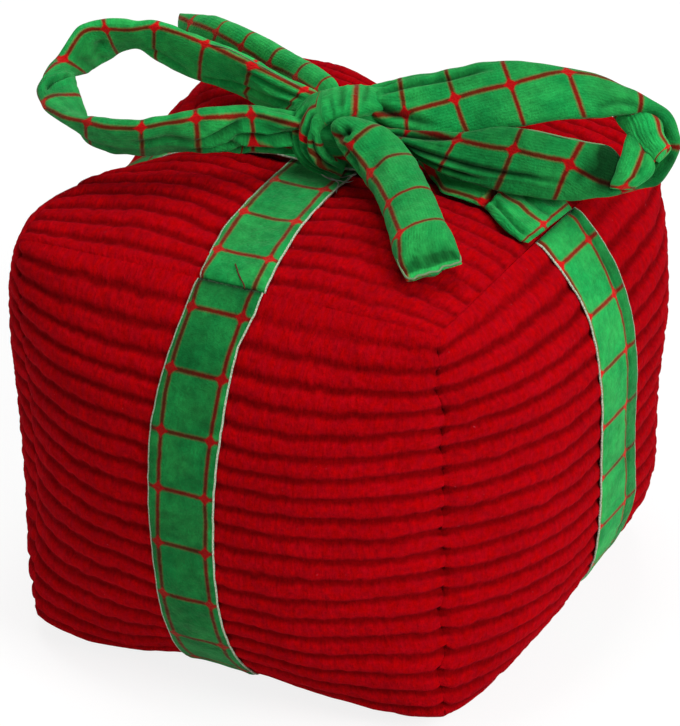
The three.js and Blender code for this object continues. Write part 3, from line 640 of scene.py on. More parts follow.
RIGHT_EDGES = [
    (4.7, 4.6, 8.7, 7.4, 1.3, 4.6), (8, 7.8, 10.1, 11.5, 1.5, 2.9), (13.4, 11.6, 11.4, 18.9, 2.8, 2),
    (21.8, 15.2, 13.8, 30.2, 6.4, 1.4), (28.2, 17.8, 15.6, 37.1, 8.6, 3.8), (34.7, 20.4, 16.6, 43.3, 10.5, 5.2),
    (41.9, 22.6, 16.2, 49.3, 13.4, 6.5), (48.5, 24.7, 15.3, 55.7, 16.5, 7.2), (55.4, 26.4, 14.4, 60.8, 19.2, 7.6),
    (62, 27.4, 11.7, 65.4, 21.7, 8.2), (68.3, 27.8, 9, 68.6, 24.3, 7.4), (72.8, 27.7, 7.6, 71.6, 24.1, 6.5),
    (75.7, 26.5, 4, 74, 23.3, 4.2), (76.1, 24.5, 0.7, 76, 21.9, 2.1), (75.6, 21.7, -3.7, 75, 19.5, -1.5),
    (73.7, 19.1, -6.6, 73.2, 17.8, -5.1), (70.7, 15.5, -8, 69.5, 16.2, -4.2), (66, 11.4, -9, 63.2, 17.3, 0.3),
    (59.3, 7.7, -10.1, 58.4, 14.2, 2.6), (52, 4.9, -10.1, 50.4, 11.2, 4.3), (45.4, 2.8, -9.2, 44, 9.1, 5.5),
    (36.9, 0.6, -7.6, 37.1, 7, 5), (29.3, -0.7, -5.4, 30.2, 4.8, 3.7), (22.5, -1.3, -3.1, 23.5, 3.2, 2.8),
    (15.1, -0.5, -0.8, 16.1, 1.9, 1.8), (9.2, -0.3, 0.6, 9.7, 0.9, 2.5),
]
UPPER_LOBE = [
    (64.5, 30.5, 5.8, 58.3, 27.5, 4.5), (68.8, 27.9, 6.6, 61.3, 24.1, 4.2), (72.8, 24.2, 6.7, 65.6, 21.1, 2.9),
    (74.7, 21.7, 4.9, 69.7, 19.1, 1), (76.6, 21, 2.7, 73.5, 18.8, -1.2), (77.1, 20.5, 1.7, 74.9, 18.6, -1.6),
]
LOWER_LOBE = [
    (66.1, 19.6, 3.8, 69.7, 20.3, 1.3), (66.3, 17.3, 2.2, 72.2, 19.3, -0.7), (66.3, 15.2, 0.2, 74, 18.3, -2.2),
    (66.1, 13.3, -2.4, 74.2, 16.7, -3.8), (65.9, 11.5, -4.8, 72.8, 14.6, -5.5), (65.8, 10.7, -6.6, 70.5, 12.8, -7.1),
]
FRONT_EDGES = [
    (1, -6.4, 2.4, 1.7, -4.6, 3.6), (3.1, -9.4, 1.6, 6.4, -4.1, 5.7), (6.8, -12, 0.1, 14.2, -3.8, 4.6),
    (11.7, -14.7, -1.9, 20.9, -5.5, 0.7), (19.5, -21.2, -3.6, 28.2, -12.5, -1.1),
    (25, -27.6, -5.4, 34.3, -18.3, -3.5), (29.7, -33.9, -7.1, 39.6, -23.9, -5.4),
    (33.8, -38.9, -9, 44.2, -28.5, -7.5), (38.1, -42.4, -11.6, 48, -32.5, -10.2),
]
FOLD_EDGES = [
    (16.5, 7.5, -8.5, 16.8, 24.3, -7.1), (23, 3, -10.6, 24.8, 20.8, -8.2), (26.6, -0.6, -11.1, 28.6, 19.6, -8.8),
    (31.2, -1, -11.4, 32.1, 18.5, -9.4), (37.4, -0.9, -12.2, 38, 16.4, -10.6), (43, -4.6, -12.7, 44, 15.2, -12.1),
    (48, -7, -14.2, 49.6, 14.4, -13.7), (50.8, -7.5, -15.2, 52.4, 14.4, -14.9), (52.4, -6.5, -16, 54, 14.8, -16.6),
]
BACK_EDGES = [
    (-1.9, 1.7, 7.3, -2.6, 1.6, 0.2), (-5.2, 4.6, 9.6, -6.7, 4.4, -1.8), (-11, 7.9, 10.6, -12.5, 8.6, -3.3),
    (-22.8, 15.1, 9.7, -24.3, 16.8, -4.3), (-39.5, 22.8, 9.3, -41, 24.5, -5.8), (-50.3, 28.4, 7.8, -51.8, 30.1, -6.8),
    (-56.7, 32.2, 5.6, -57.8, 33.4, -7.4), (-64.8, 36.6, 2.5, -65.8, 37.8, -7.6),
]


def catmull(stops, count):
    """A centripetal curve through stops that hold both edges, with the share of the way of each point."""
    p = np.vstack([2 * stops[0] - stops[1], stops, 2 * stops[-1] - stops[-2]])
    spans = len(stops) - 1
    t = np.linspace(0, spans, count)
    k = np.minimum(np.floor(t).astype(int), spans - 1)
    f = (t - k)[:, None]
    a, b, c, d = p[k], p[k + 1], p[k + 2], p[k + 3]

    def step(q):
        return np.sqrt(np.linalg.norm(q[:, :3] + q[:, 3:], axis=1, keepdims=True) / 2) + 1e-6

    t1 = step(b - a)
    t2 = t1 + step(c - b)
    t3 = t2 + step(d - c)
    w = t1 + f * (t2 - t1)

    def between(p, q, start, end):
        return (end - w) / (end - start) * p + (w - start) / (end - start) * q

    first, second, third = between(a, b, 0, t1), between(b, c, t1, t2), between(c, d, t2, t3)
    return between(between(first, second, 0, t2), between(second, third, t1, t3), t1, t2), t / spans


CREASE_SHADE = 0.62


class Tube:
    """A flattened tube between two edges. Its places are given by two shares: the way along it, and the way across it
    from its first edge, which is negative on the side that the thin direction points away from."""

    def __init__(self, edges, thick, rows=240, sides=96, power=2.5, seed=1):
        both, self.share = catmull(np.array(edges, float), rows)
        first, second = KNOT + both[:, :3], KNOT + both[:, 3:]
        self.rows, self.sides, self.seed = rows, sides, seed
        self.centre = (first + second) / 2
        self.half_width = np.linalg.norm(second - first, axis=1) / 2
        self.tangent = unit(np.gradient(self.centre, axis=0))
        wide = unit(second - first)
        thin = unit(np.cross(self.tangent, wide))
        self.length = arc(self.centre)
        self.angle = np.linspace(-np.pi, np.pi, sides + 1)
        self.cx, sy = (np.sign(a) * np.abs(a) ** (2 / power) for a in (np.cos(self.angle), np.sin(self.angle)))
        x = -self.half_width[:, None] * self.cx
        y = interp(self.share, thick)[:, None] / 2 * sy
        self.points = self.centre[:, None] + x[..., None] * wide[:, None] + y[..., None] * thin[:, None]
        steps = np.hypot(np.diff(x, axis=1), np.diff(y, axis=1))
        way = np.concatenate([np.zeros((rows, 1)), np.cumsum(steps, axis=1)], axis=1)
        self.way = way - way[:, sides // 2][:, None]
        self.dark = 0.16 * noise3(self.points / 5 + seed, 30 + seed)
        self.hidden = np.zeros_like(self.way)
        self.outward = self.normals()

    def normals(self):
        p = self.points
        around = np.roll(p[:, :-1], -1, 1) - np.roll(p[:, :-1], 1, 1)
        along = np.gradient(p[:, :-1], axis=0)
        n = unit(np.cross(around, along))
        out = p[:, :-1] - self.centre[:, None]
        n = n * np.where((n * out).sum(-1, keepdims=True) < 0, -1, 1)
        return np.concatenate([n, n[:, :1]], 1)

    def push(self, amount):
        self.points += self.outward * amount[..., None]
        return self

    def tone(self, table):
        """Painted shade along the tube, or painted light below zero, for how the light falls on each part of it."""
        self.dark += interp(self.share, table)[:, None]
        return self

    def shadows(self, rows):
        """Dark stretches where the tube turns away from the light, without a crease. Each is a row of its amount, its
        width and the two shares of each place that it passes."""
        for amount, width, *shares in rows:
            self.dark += amount * bell(self.nearness(shares)[0], width)

    def lumps(self, size, amount):
        return self.push(amount * noise3(self.points / size + self.seed, 60 + self.seed))

    def pleats(self, start, reach, amount, count=5, phase=0.7):
        """Pleats that run out of the knot and die away along the tube."""
        away = self.length if start else self.length[-1] - self.length
        near = np.exp(-(away / reach) ** 1.5)[:, None]
        wave = np.cos(count * self.angle + phase) + 0.5 * np.cos((2 * count - 1) * self.angle + 3 * phase)
        # painted shade in the pleats' hollows, and painted light on their ridges
        self.dark += 0.22 * near * (0.5 - wave[None])
        return self.push(near * amount * wave[None])

    def point(self, along, across, lift=0.0):
        """The point of the tube's surface at a place, raised off it."""
        length, way = self.place(along, across)
        row = int(np.clip(np.searchsorted(self.length, length), 0, self.rows - 1))
        column = np.interp(way, self.way[row], np.arange(self.sides + 1))
        k, part = int(column), column % 1
        near, after = self.points[row, k], self.points[row, min(k + 1, self.sides)]
        return near * (1 - part) + after * part + self.outward[row, k] * lift

    def place(self, along, across):
        """Length along and way around, in millimetres, of a place given by its two shares."""
        half = self.sides // 2
        at = np.interp(2 * abs(across) - 1, -self.cx[half:], np.arange(half + 1))
        column = half + at if across >= 0 else half - at
        before, after, length = (np.interp(along, self.share, values) for values in (
            self.way[:, math.floor(column)], self.way[:, math.ceil(column)], self.length))
        return length, before + (after - before) * (column % 1)

    def path(self, shares):
        """The lengths and ways of a row of places, each given by its two shares."""
        return np.array([self.place(*s) for s in zip(shares[::2], shares[1::2])])

    def nearness(self, shares):
        """How far each point lies from a path of places, and how much of a crease is left near the path's ends."""
        path = self.path(shares)
        spot = np.stack([np.broadcast_to(self.length[:, None], self.way.shape), self.way], -1)
        near = np.full(self.way.shape, 1e9)
        fade = np.ones(self.way.shape)
        for k, (a, b) in enumerate(zip(path[:-1], path[1:])):
            way = b - a
            t = np.clip(((spot - a) * way).sum(-1) / max((way * way).sum(), 1e-9), 0, 1)
            d = np.linalg.norm(spot - a - t[..., None] * way, axis=-1)
            run = (k + t) / (len(path) - 1)
            fade = np.where(d < near, np.minimum(1, 4.5 * np.minimum(run + 0.03, 1.03 - run)), fade)
            near = np.minimum(near, d)
        return near, fade

    def creases(self, rows, rise=0.4):
        """Creases with the cloth raised a little beside them and painted shade in them, each a row of its depth, its
        width and the two shares of each place that it passes."""
        for depth, width, *shares in rows:
            near, fade = self.nearness(shares)
            # painted shade in the crease
            self.dark += CREASE_SHADE * min(1, depth) * fade * bell(near, 0.85 * width)
            self.push(depth * fade * (rise * bell(near - 2.1 * width, 1.1 * width) - bell(near, width)))

    def tuck(self, hidden, *shares):
        """A fold along a path of places that hides a width of cloth, so that the print jumps across it."""
        path = self.path(shares)
        way = np.interp(self.length, path[:, 0], path[:, 1])[:, None]
        start = smoothstep(path[0, 0] - 2.5, path[0, 0] + 1.5, self.length)[:, None]
        self.hidden += hidden * start * smoothstep(-0.5, 0.5, (self.way - way) * np.sign(hidden))

    def scallop(self, reach, amount):
        """A far end whose sewn edge runs in and out."""
        near = np.exp(-((self.length[-1] - self.length) / reach))[:, None]
        x = self.half_width[:, None] * self.cx
        wave = noise2(x / 2.6 + 20, 5.3, 80 + self.seed)
        self.points += self.tangent[:, None] * (amount * near * wave)[..., None]

    def shell(self, line, cells, skew=0.0):
        """The closed tube with its print. line says where the long line runs, and cells the number of check cells
        passed, both along the tube."""
        at = np.array([self.place(*p)[1] for p in line])
        middle = np.interp(self.share, [p[0] for p in line], at)
        number = interp(self.share, cells) * CHECK_ALONG
        across = self.way - middle[:, None]
        cloth = np.stack([across + self.hidden, number[:, None] + skew * across, 0 * across + self.seed], -1)
        return closed_tube(self.points[:, :-1], cloth, self.dark)


DARK_RANGE = -0.55, 0.88


def closed_tube(points, cloth, dark):
    """The points, the faces, each face corner's place in the print and each point's darkness of a tube whose ends are
    closed by fans. cloth and dark have one column more than points, where the tube meets itself."""
    rows, sides = points.shape[:2]
    i, j = (a.ravel() for a in np.meshgrid(np.arange(sides), np.arange(rows - 1)))
    after = (i + 1) % sides
    faces = np.stack([j * sides + i, (j + 1) * sides + i, (j + 1) * sides + after, j * sides + after], -1).tolist()
    corners = [np.stack([cloth[j, i], cloth[j + 1, i], cloth[j + 1, i + 1], cloth[j, i + 1]], 1).reshape(-1, 3)]
    flat, shade = points.reshape(-1, 3), np.clip(dark[:, :-1], *DARK_RANGE).reshape(-1)
    for row, turn in ((0, 1), (rows - 1, -1)):
        hub = len(flat)
        flat = np.vstack([flat, points[row].mean(0)])
        shade = np.append(shade, dark[row].mean())
        for m in range(sides):
            ends = ((row * sides + m, cloth[row, m]), (row * sides + (m + 1) % sides, cloth[row, m + 1]))[::turn]
            faces.append([ends[0][0], ends[1][0], hub])
            corners.append(np.array([ends[0][1], ends[1][1], cloth[row].mean(0)]))
    return flat, faces, np.vstack(corners), shade


def bow_piece(name, body, node, shells):
    starts = np.cumsum([0] + [len(shell[0]) for shell in shells])
    faces = [[i + start for i in face] for start, shell in zip(starts, shells) for face in shell[1]]
    points, corners, dark = (np.concatenate([shell[k] for shell in shells]) for k in (0, 2, 3))
    piece = make_mesh(name, points, faces, {"dark": dark})
    spots = piece.data.attributes.new("cloth", "FLOAT_VECTOR", "CORNER")
    spots.data.foreach_set("vector", corners.astype(np.float32).ravel())
    piece.data.update()
    return dress(piece, body, [node], [GREEN_TUBE])


TUBES = {}


def left_loop():
    tube = Tube(LEFT_EDGES, [(0, 6), (0.06, 5), (0.15, 4.6), (0.4, 4.2), (0.5, 4.4), (0.6, 4.4), (0.9, 5.2), (1, 6)],
                rows=300, seed=3)
    tube.dark += 0.17 * noise3(tube.points / 2.2 + 7, 44)
    tube.lumps(9, 0.45).lumps(3.4, 0.25)
    tube.pleats(True, 12, 0.6, 4).pleats(False, 13, 0.7, 5, 1.9)
    # painted light on the far strand and round its tip
    tube.tone([(0, -0.3), (0.12, -0.5), (0.3, -0.42), (0.4, -0.05), (0.55, -0.05), (0.6, 0), (1, 0)])
    # creases along the far strand, at its tip, and the crumpled near strand
    tube.creases([
        (1.2, 0.9, 0.02, 0.35, 0.06, 0.45, 0.11, 0.6, 0.14, 0.8), (0.8, 0.7, 0.02, 0.15, 0.06, 0.2, 0.1, 0.16),
        (0.6, 1.0, 0.15, 0.75, 0.19, 0.6, 0.22, 0.8), (0.7, 1.6, 0.3, 0.35, 0.33, 0.6, 0.335, 0.95),
        (0.5, 1.3, 0.37, 0.3, 0.36, 0.7, 0.355, 0.98), (1.3, 0.9, 0.5, 0.15, 0.484, 0.233, 0.47, 0.5, 0.4536, 0.85),
        (0.5, 1.6, 0.56, -0.55, 0.62, -0.7, 0.7, -0.72), (0.7, 1.2, 0.7, -0.45, 0.76, -0.38, 0.8, -0.5),
        (1.2, 1.1, 0.79, -0.85, 0.83, -0.7, 0.87, -0.6), (1.2, 0.9, 0.85, -0.95, 0.89, -0.78, 0.95, -0.75, 0.99, -0.6),
        (0.5, 0.6, 0.9, -0.3, 0.94, -0.28, 0.98, -0.2), (0.7, 0.6, 0.9, -0.08, 0.94, -0.1, 0.98, -0.08),
    ])
    tube.creases([
        (1.7, 1.0, 0.8, -0.56, 0.8321, -0.417, 0.8596, -0.3, 0.8847, -0.2),
        (2.2, 1.0, 0.865, -0.42, 0.8922, -0.47, 0.9323, -0.5, 0.9599, -0.4, 1.0, -0.28),
    ], rise=0.6)
    gap = abs(tube.place(0.91, -0.62)[1] - tube.place(0.91, -0.08)[1])
    TUBES["left_loop"] = tube
    tube.tuck(gap - TUBE_CHECK_ACROSS, 0.885, -0.46, 0.9323, -0.5, 0.9599, -0.4, 1.0, -0.28)
    line = [(0, 0.0), (0.0927, 0.017), (0.19, 0.033), (0.2882, 0.083), (0.386, 0.04), (0.45, 0.0), (0.51, -0.01),
            (0.56, 0.0), (0.6291, -0.017), (0.7168, -0.05), (0.8045, -0.05), (0.9023, -0.08), (1, -0.1)]
    cells = [(0, 0.5), (0.0326, 1), (0.0927, 2), (0.1429, 3), (0.1905, 4), (0.2882, 5), (0.386, 6), (0.525, 7),
             (0.6291, 8), (0.7168, 9), (0.8045, 10), (0.9023, 11), (1, 12)]
    return [tube.shell(line, cells)]


def right_loop():
    tube = Tube(RIGHT_EDGES, [(0, 6), (0.06, 6), (0.15, 5.2), (0.36, 5), (0.42, 4.6), (0.62, 4.6), (0.7, 5), (1, 5)],
                rows=340, seed=4)
    tube.lumps(9, 0.45).lumps(3.4, 0.22)
    tube.pleats(True, 9, 0.5, 5)
    # painted shade on the lower strand, which lies under the upper one
    tube.tone([(0, 0), (0.3, -0.02), (0.36, 0.05), (0.55, 0.05), (0.66, 0.1), (0.8, 0.33), (1, 0.35)])
    # the long creases of the upper strand, then those of the lower strand, and painted shadows, two in the hollow
    # behind the lobes and two about the tip
    tube.creases([
        (1.1, 0.7, 0.02, -0.35, 0.0668, -0.22, 0.1169, -0.16, 0.1853, -0.14),
        (1.0, 0.8, 0.01, -0.12, 0.035, -0.05, 0.055, -0.03), (1.0, 0.9, 0.01, -0.62, 0.05, -0.8, 0.1, -0.9),
        (0.5, 0.7, 0.03, -0.5, 0.06, -0.5, 0.09, -0.46),
        (1.3, 0.6, 0.98, -0.12, 0.9449, -0.14, 0.8865, -0.3, 0.8381, -0.3, 0.7896, -0.32, 0.74, -0.3),
        (1.0, 0.6, 0.97, -0.02, 0.93, -0.03, 0.8781, -0.08, 0.84, -0.12),
        (1.0, 0.6, 0.98, -0.5, 0.9599, -0.56, 0.9149, -0.74, 0.88, -0.85),
        (0.6, 1.4, 0.73, -0.3, 0.72, -0.5, 0.7, -0.42), (0.7, 1.0, 0.3, -0.9, 0.34, -0.75, 0.38, -0.9),
    ])
    tube.shadows([
        (0.65, 3.6, 0.695, -0.8, 0.692, -0.6, 0.688, -0.45), (0.75, 3.2, 0.68, -0.95, 0.677, -0.7, 0.677, -0.4),
        (0.3, 1.8, 0.41, -0.95, 0.45, -0.9, 0.5, -0.9, 0.54, -0.9), (0.5, 2.2, 0.55, -0.85, 0.6, -0.7, 0.64, -0.7),
    ])
    line = [(0, -0.95), (0.0677, -0.75), (0.1178, -0.467), (0.1955, -0.417), (0.2757, -0.133), (0.33, -0.1),
            (0.3784, -0.02), (0.45, 0.2), (0.52, 0.2), (0.6, 0.05), (0.68, -0.2), (0.702, -0.34), (0.7444, -0.65),
            (0.8095, -0.683), (0.8847, -0.8), (1, -0.85)]
    cells = [(0, 0.2), (0.0677, 1), (0.1178, 2), (0.1955, 3), (0.2757, 4), (0.3784, 5), (0.5213, 6), (0.662, 7),
             (0.737, 8), (0.8095, 9), (0.8847, 10), (0.9524, 11), (1, 11.7)]
    TUBES["right_loop"] = tube
    upper = Tube(UPPER_LOBE, [(0, 4), (0.3, 5.2), (0.75, 5), (0.92, 3.6), (1, 1.2)], rows=110, power=2.1, seed=5)
    # painted shade where the upper lobe starts, painted light over the rest
    upper.lumps(3, 0.2).tone([(0, 0.15), (0.2, -0.36), (1, -0.36)])
    upper.creases([(deep, 0.35, 0.12, across, 0.5, across - 0.03, 0.82, across)
                   for across, deep in ((-0.36, 0.2), (-0.5, 0.3), (-0.62, 0.35), (-0.74, 0.3))])
    lower = Tube(LOWER_LOBE, [(0, 3), (0.3, 5.2), (0.8, 5.2), (1, 2)], rows=110, power=2.0, seed=6)
    # painted shade where the lower lobe comes out under the upper one, painted light over the rest
    lower.lumps(3, 0.2).tone([(0, 0.35), (0.3, -0.2), (1, -0.25)])
    lower.creases([(0.5, 0.7, 0.12, 0.72, 0.5, 0.7, 0.9, 0.62)])
    return [
        tube.shell(line, cells, interp(tube.share, [(0, 0.1), (0.4, 0.1), (0.6, 0), (0.68, -0.3), (1, -0.3)])[:, None]),
        upper.shell([(0, -0.14), (1, -0.15)], [(0, -0.25), (0.16, 0), (0.86, 1), (1, 1.2)]),
        lower.shell([(0, 0.66), (0.25, 0.63), (0.72, 0.56), (1, 0.52)], [(0, 0.1), (0.95, 1.0), (1, 1.1)]),
    ]


def front_tail():
    tube = Tube(FRONT_EDGES, [(0, 2.5), (0.04, 6), (0.1, 8.4), (0.2, 9.6), (0.8, 9.4), (0.89, 8.4), (0.935, 6),
                              (0.958, 2.2), (0.968, 1.3), (1, 1.1)], rows=300, power=2.1, seed=7)
    tube.lumps(8, 0.35).lumps(3, 0.2)
    tube.creases([(1.7, 1.1, 0.12, 0.05, 0.168, 0.15, 0.182, 0.36, 0.18, 0.5)], rise=0.1)
    tube.creases([(0.8, 1.6, 0.175, 0.25, 0.185, 0.4)], rise=0)
    tube.creases([(0.7, 0.9, 0.22, 0.05, 0.32, 0.04, 0.4, 0.0), (0.5, 1.6, 0.38, 0.3, 0.43, 0.24, 0.5, 0.24)])
    tube.creases([(deep, width, reach, across + 0.03, 0.95, across, 0.966, across + 0.02)
                  for across, reach, deep, width in (
                      (0.1, 0.945, 0.25, 0.7), (0.23, 0.915, 0.5, 1.1), (0.4, 0.935, 0.25, 0.6),
                      (0.55, 0.92, 0.45, 1.3), (0.72, 0.93, 0.3, 0.8), (0.88, 0.945, 0.3, 0.7))])
    # painted shade in a band above the sewn end, with the end itself lighter
    tube.tone([(0, 0), (0.5, 0.01), (0.88, -0.03), (0.915, 0.08), (0.945, 0.36), (0.966, 0.42), (0.975, -0.3),
               (1, -0.4)])
    tube.scallop(1.8, 0.9)
    line = [(0, 0.1), (0.2607, 0.15), (0.4411, 0.083), (0.6065, 0.117), (0.787, 0.15), (0.95, 0.03), (1, 0.0)]
    cells = [(0, -0.2), (0.12, 0.45), (0.2607, 1), (0.4411, 2), (0.6065, 3), (0.787, 4), (1, 4.8)]
    TUBES["front_tail"] = tube
    return [tube.shell(line, cells, skew=0.17)]


def back_tail():
    tube = Tube(BACK_EDGES, [(0, 5), (0.15, 6), (0.85, 6), (0.96, 4), (1, 1.4)], rows=200, power=2.3, seed=8)
    tube.lumps(8, 0.35).lumps(3, 0.14)
    tube.pleats(True, 10, 0.5, 4)
    tube.scallop(3.2, 1.2)
    # painted light along the back tail, more toward its end
    tube.tone([(0, -0.2), (1, -0.38)])
    line = [(0, 0.4), (0.4612, 0.3), (0.5439, 0.217), (0.6541, 0.167), (0.8872, 0.133), (1, 0.1)]
    cells = [(0, -1), (0.2, 0), (0.345, 1), (0.4612, 2), (0.5439, 3), (0.6541, 4), (0.8872, 5), (1, 5.5)]
    return [tube.shell(line, cells, skew=-0.25)]


def folded_end():
    """The across ribbon's right half, which is folded under along its edge and puffs up off the top."""
    tube = Tube(FOLD_EDGES, [(0, 1.6), (0.3, 2.8), (0.7, 4.0), (0.88, 3.6), (1, 1.4)], rows=220, power=2.4, seed=12)
    # painted light over the folded end, most on its first half, where a strand above shades it
    tube.lumps(6, 0.35).lumps(2.5, 0.2).tone([(0, -0.45), (0.45, -0.4), (0.6, -0.2), (1, -0.2)])
    tube.creases([
        (1.2, 0.7, 0.5, 0.0, 0.515, 0.15, 0.52, 0.33, 0.5, 0.5),
        (1.1, 0.7, 0.53, 0.14, 0.6, 0.15, 0.75, 0.11, 0.95, 0.1), (0.6, 0.7, 0.1, 0.25, 0.3, 0.32, 0.45, 0.38),
        (0.6, 1.0, 0.6, 0.6, 0.8, 0.55, 0.93, 0.6),
    ])
    line = [(0, 0.06), (0.07, 0.067), (0.39, 0.083), (0.505, 0.04), (0.52, 0.3), (0.55, 0.355), (0.67, 0.4),
            (0.93, 0.367), (1, 0.36)]
    cells = [(0, 0.84), (0.07, 1), (0.51, 2), (0.915, 3), (1, 3.2)]
    return [tube.shell(line, cells)]


bow_piece("top_strip_fold", "box", "top_ribbon_across", folded_end())
for arm in (left_loop, right_loop, front_tail, back_tail):
    bow_piece("bow_" + arm.__name__, arm.__name__, arm.__name__, arm())


WRAP_EDGES = [
    (8.6, 9.7, 10.2, 10.8, 7.3, 4.2), (4.5, 7.1, 8.9, 9, 0.3, 6.4), (1.1, 5.4, 8.6, 5.8, -4.5, 7.2),
    (-1.6, 2.1, 9.1, 2.5, -7, 6.8), (-4.4, 0.3, 8.6, 0, -8.4, 5.8), (-7.7, 0.2, 6.8, -1.5, -9.3, 4.3),
    (-9.7, -1.8, 4.9, -1.4, -10, 2.5), (-10.4, -3.8, 2.1, -1, -10.3, 0.6), (-10.1, -5.6, -1.3, -0.5, -10.3, -0.9),
    (-8.5, -6.7, -4.5, 0.6, -10, -2.1), (-6, -6.9, -6.9, 1.9, -9.5, -3.2), (-2.5, -6.3, -8.6, 3.4, -8.7, -4),
    (1.7, -5.1, -9.9, 4.7, -7.7, -4.8),
]


def sweep(name, body, stops, radius, material, sides=6):
    """A fine thread through stops, thinner at its ends."""
    stops = np.array(stops, float)
    centre = catmull(np.hstack([stops, stops]), 10 * len(stops))[0][:, :3]
    tangent = unit(np.gradient(centre, axis=0))
    side = unit(np.cross(tangent, (0.3, 0.2, 1.0)))
    turn = np.linspace(0, 2 * np.pi, sides, endpoint=False)[:, None]
    number = np.arange(len(centre))
    taper = radius * np.minimum(1, 0.3 + np.minimum(number, number[::-1]) / 6)
    ring = [c + k * (np.cos(turn) * a + np.sin(turn) * b)
            for c, k, a, b in zip(centre, taper, side, np.cross(side, tangent))]
    quads = [(j * sides + m, j * sides + (m + 1) % sides, (j + 1) * sides + (m + 1) % sides, (j + 1) * sides + m)
             for j in range(len(centre) - 1) for m in range(sides)]
    ends = [tuple(range(sides))[::-1], tuple(len(centre) * sides - sides + m for m in range(sides))]
    dress(make_mesh(name, np.vstack(ring), quads + ends), body, [], [material])


def knot_core():
    p, t = np.meshgrid(np.linspace(0, 2 * np.pi, 121), np.linspace(0.02, np.pi - 0.02, 71))
    shape = np.stack([np.cos(t), np.sin(t) * np.cos(p), np.sin(t) * np.sin(p)], -1)
    swirl = 0.05 * np.cos(9 * p + 3 * t) * np.sin(t)
    points = KNOT + (shape * (1 + swirl)[..., None] * np.array(KNOT_HALF) * 0.92) @ KNOT_AXES
    cloth = np.stack([p * 9 + 3, t * 9 + 4, 0 * p + 9], -1)
    # painted shade all over the core, which shows only in the gaps between the wrap and the arms
    return closed_tube(points[:, :-1], cloth, np.full(p.shape, 0.3))


def wrap():
    tube = Tube(WRAP_EDGES, [(0, 5), (0.2, 6), (0.5, 5.4), (0.8, 5), (1, 3.5)], rows=240, power=2.3, seed=9)
    tube.lumps(6, 0.35).lumps(2.6, 0.15)
    tube.creases([
        (0.7, 0.6, 0.12, 0.1, 0.123, 0.35, 0.1353, 0.95), (0.8, 0.7, 0.245, 0.1, 0.238, 0.45, 0.233, 0.98),
        (0.35, 0.6, 0.29, 0.5, 0.28, 0.8, 0.27, 1.0), (0.3, 0.5, 0.2, 0.6, 0.2, 0.8, 0.2, 1.0),
        (0.9, 0.6, 0.36, 0.8, 0.5, 0.82, 0.62, 0.75, 0.72, 0.7),
        (1.2, 0.7, 0.42, 0.45, 0.55, 0.48, 0.75, 0.5, 0.97, 0.5),
        (0.9, 0.6, 0.5, 0.95, 0.65, 0.93, 0.8, 0.9, 0.96, 0.85),
        (1.0, 0.6, 0.45, 0.2, 0.6, 0.24, 0.8, 0.3, 0.95, 0.3), (0.8, 0.5, 0.62, 0.62, 0.75, 0.68, 0.92, 0.66),
    ])
    # painted light where the wrap starts on top, painted shade as it goes down and under the knot
    tube.tone([(0, -0.15), (0.3, -0.15), (0.45, 0.1), (0.7, 0.1), (1, 0.3)])
    line = [(0, -0.15), (0.33, -0.12), (0.345, 0.3), (0.36, 0.6), (0.5, 0.63), (0.594, 0.64), (0.66, 0.86), (0.75, 0.9),
            (0.8747, 0.75), (1, 0.6)]
    return tube.shell(line, [(0, -0.6), (0.166, 0), (0.597, 1), (1, 1.9)])


bow_piece("bow_knot_wrap", "box", "bow_knot", [knot_core(), wrap()])

# The bow's sewn edges, where they show
for name, places, radius in (
    ("left_loop", [(0.1404, 0.01), (0.12, 0.0), (0.0977, 0.0), (0.0652, 0.0), (0.035, 0.0)], 0.15),
    ("right_loop", [(0.795, -0.99), (0.77, -0.99), (0.74, -0.985), (0.715, -0.99), (0.692, -0.985)], 0.18),
    ("front_tail", [(0.88, 0.01), (0.94, 0.01), (0.985, 0.03), (0.998, 0.12), (0.992, 0.2), (0.999, 0.3), (0.99, 0.42),
                    (0.998, 0.55), (0.992, 0.66), (0.999, 0.78), (0.993, 0.88), (0.98, 0.97), (0.94, 0.99)], 0.26),
):
    stops = [TUBES[name].point(along, across, 0.05) for along, across in places]
    sweep(name + "_seam", name, stops, radius, GREEN_THREAD)

# Tacking threads that hold the knot to the top, and one loose end on the front ribbon's fold
for number, stops in enumerate((
    [(-1.6, -8.6, -8.3), (-0.2, -8.2, -9.2), (1, -6.6, -9.8), (2.3, -5.4, -9.9), (3.6, -3.4, -10), (4.6, -1.8, -10.3)],
    [(0.6, -7.6, -9.4), (1.6, -7.4, -9.9), (2.9, -8.3, -10.0), (3.3, -9.7, -10.3), (3.9, -11.4, -10.9)],
    [(-0.6, -8.4, -8.8), (0.4, -7.6, -9.8), (2.4, -7.1, -9.9), (3.9, -6.2, -10.5), (5.0, -4.6, -10.6)],
)):
    sweep("tack_thread_%d" % number, "box", [KNOT + np.array(p) for p in stops], 0.12, WHITE_THREAD)
sweep("loose_thread", "box", [KNOT + np.array(p) for p in (
    (-4.6, -47.0, -14.6), (-3.4, -48.3, -14.9), (-2.3, -49.6, -15.5), (-1.1, -50.8, -15.9), (0.3, -51.9, -16.6),
    (1.1, -52.9, -17.2))], 0.16, RED_THREAD)


# Fill and squeaker, inside

def plastic(name, colour, rough):
    n = Nodes(name)
    haze = n.noise(n.put("ShaderNodeTexCoord", out=3), 60.0, 2.0)
    shade = n.mix(haze, tuple(c * 0.9 for c in colour), colour)
    return n.finish(shade, rough, specular=0.5)


BULB = plastic("squeaker_white", (0.75, 0.77, 0.78), 0.45)
REED = plastic("reed_clear", (0.6, 0.66, 0.7), 0.25)
for node_name, material in (("squeaker_bulb", BULB), ("squeaker_plug", BULB), ("squeaker_reed", REED)):
    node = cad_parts[node_name]
    node.data.materials.clear()
    node.data.materials.append(material)


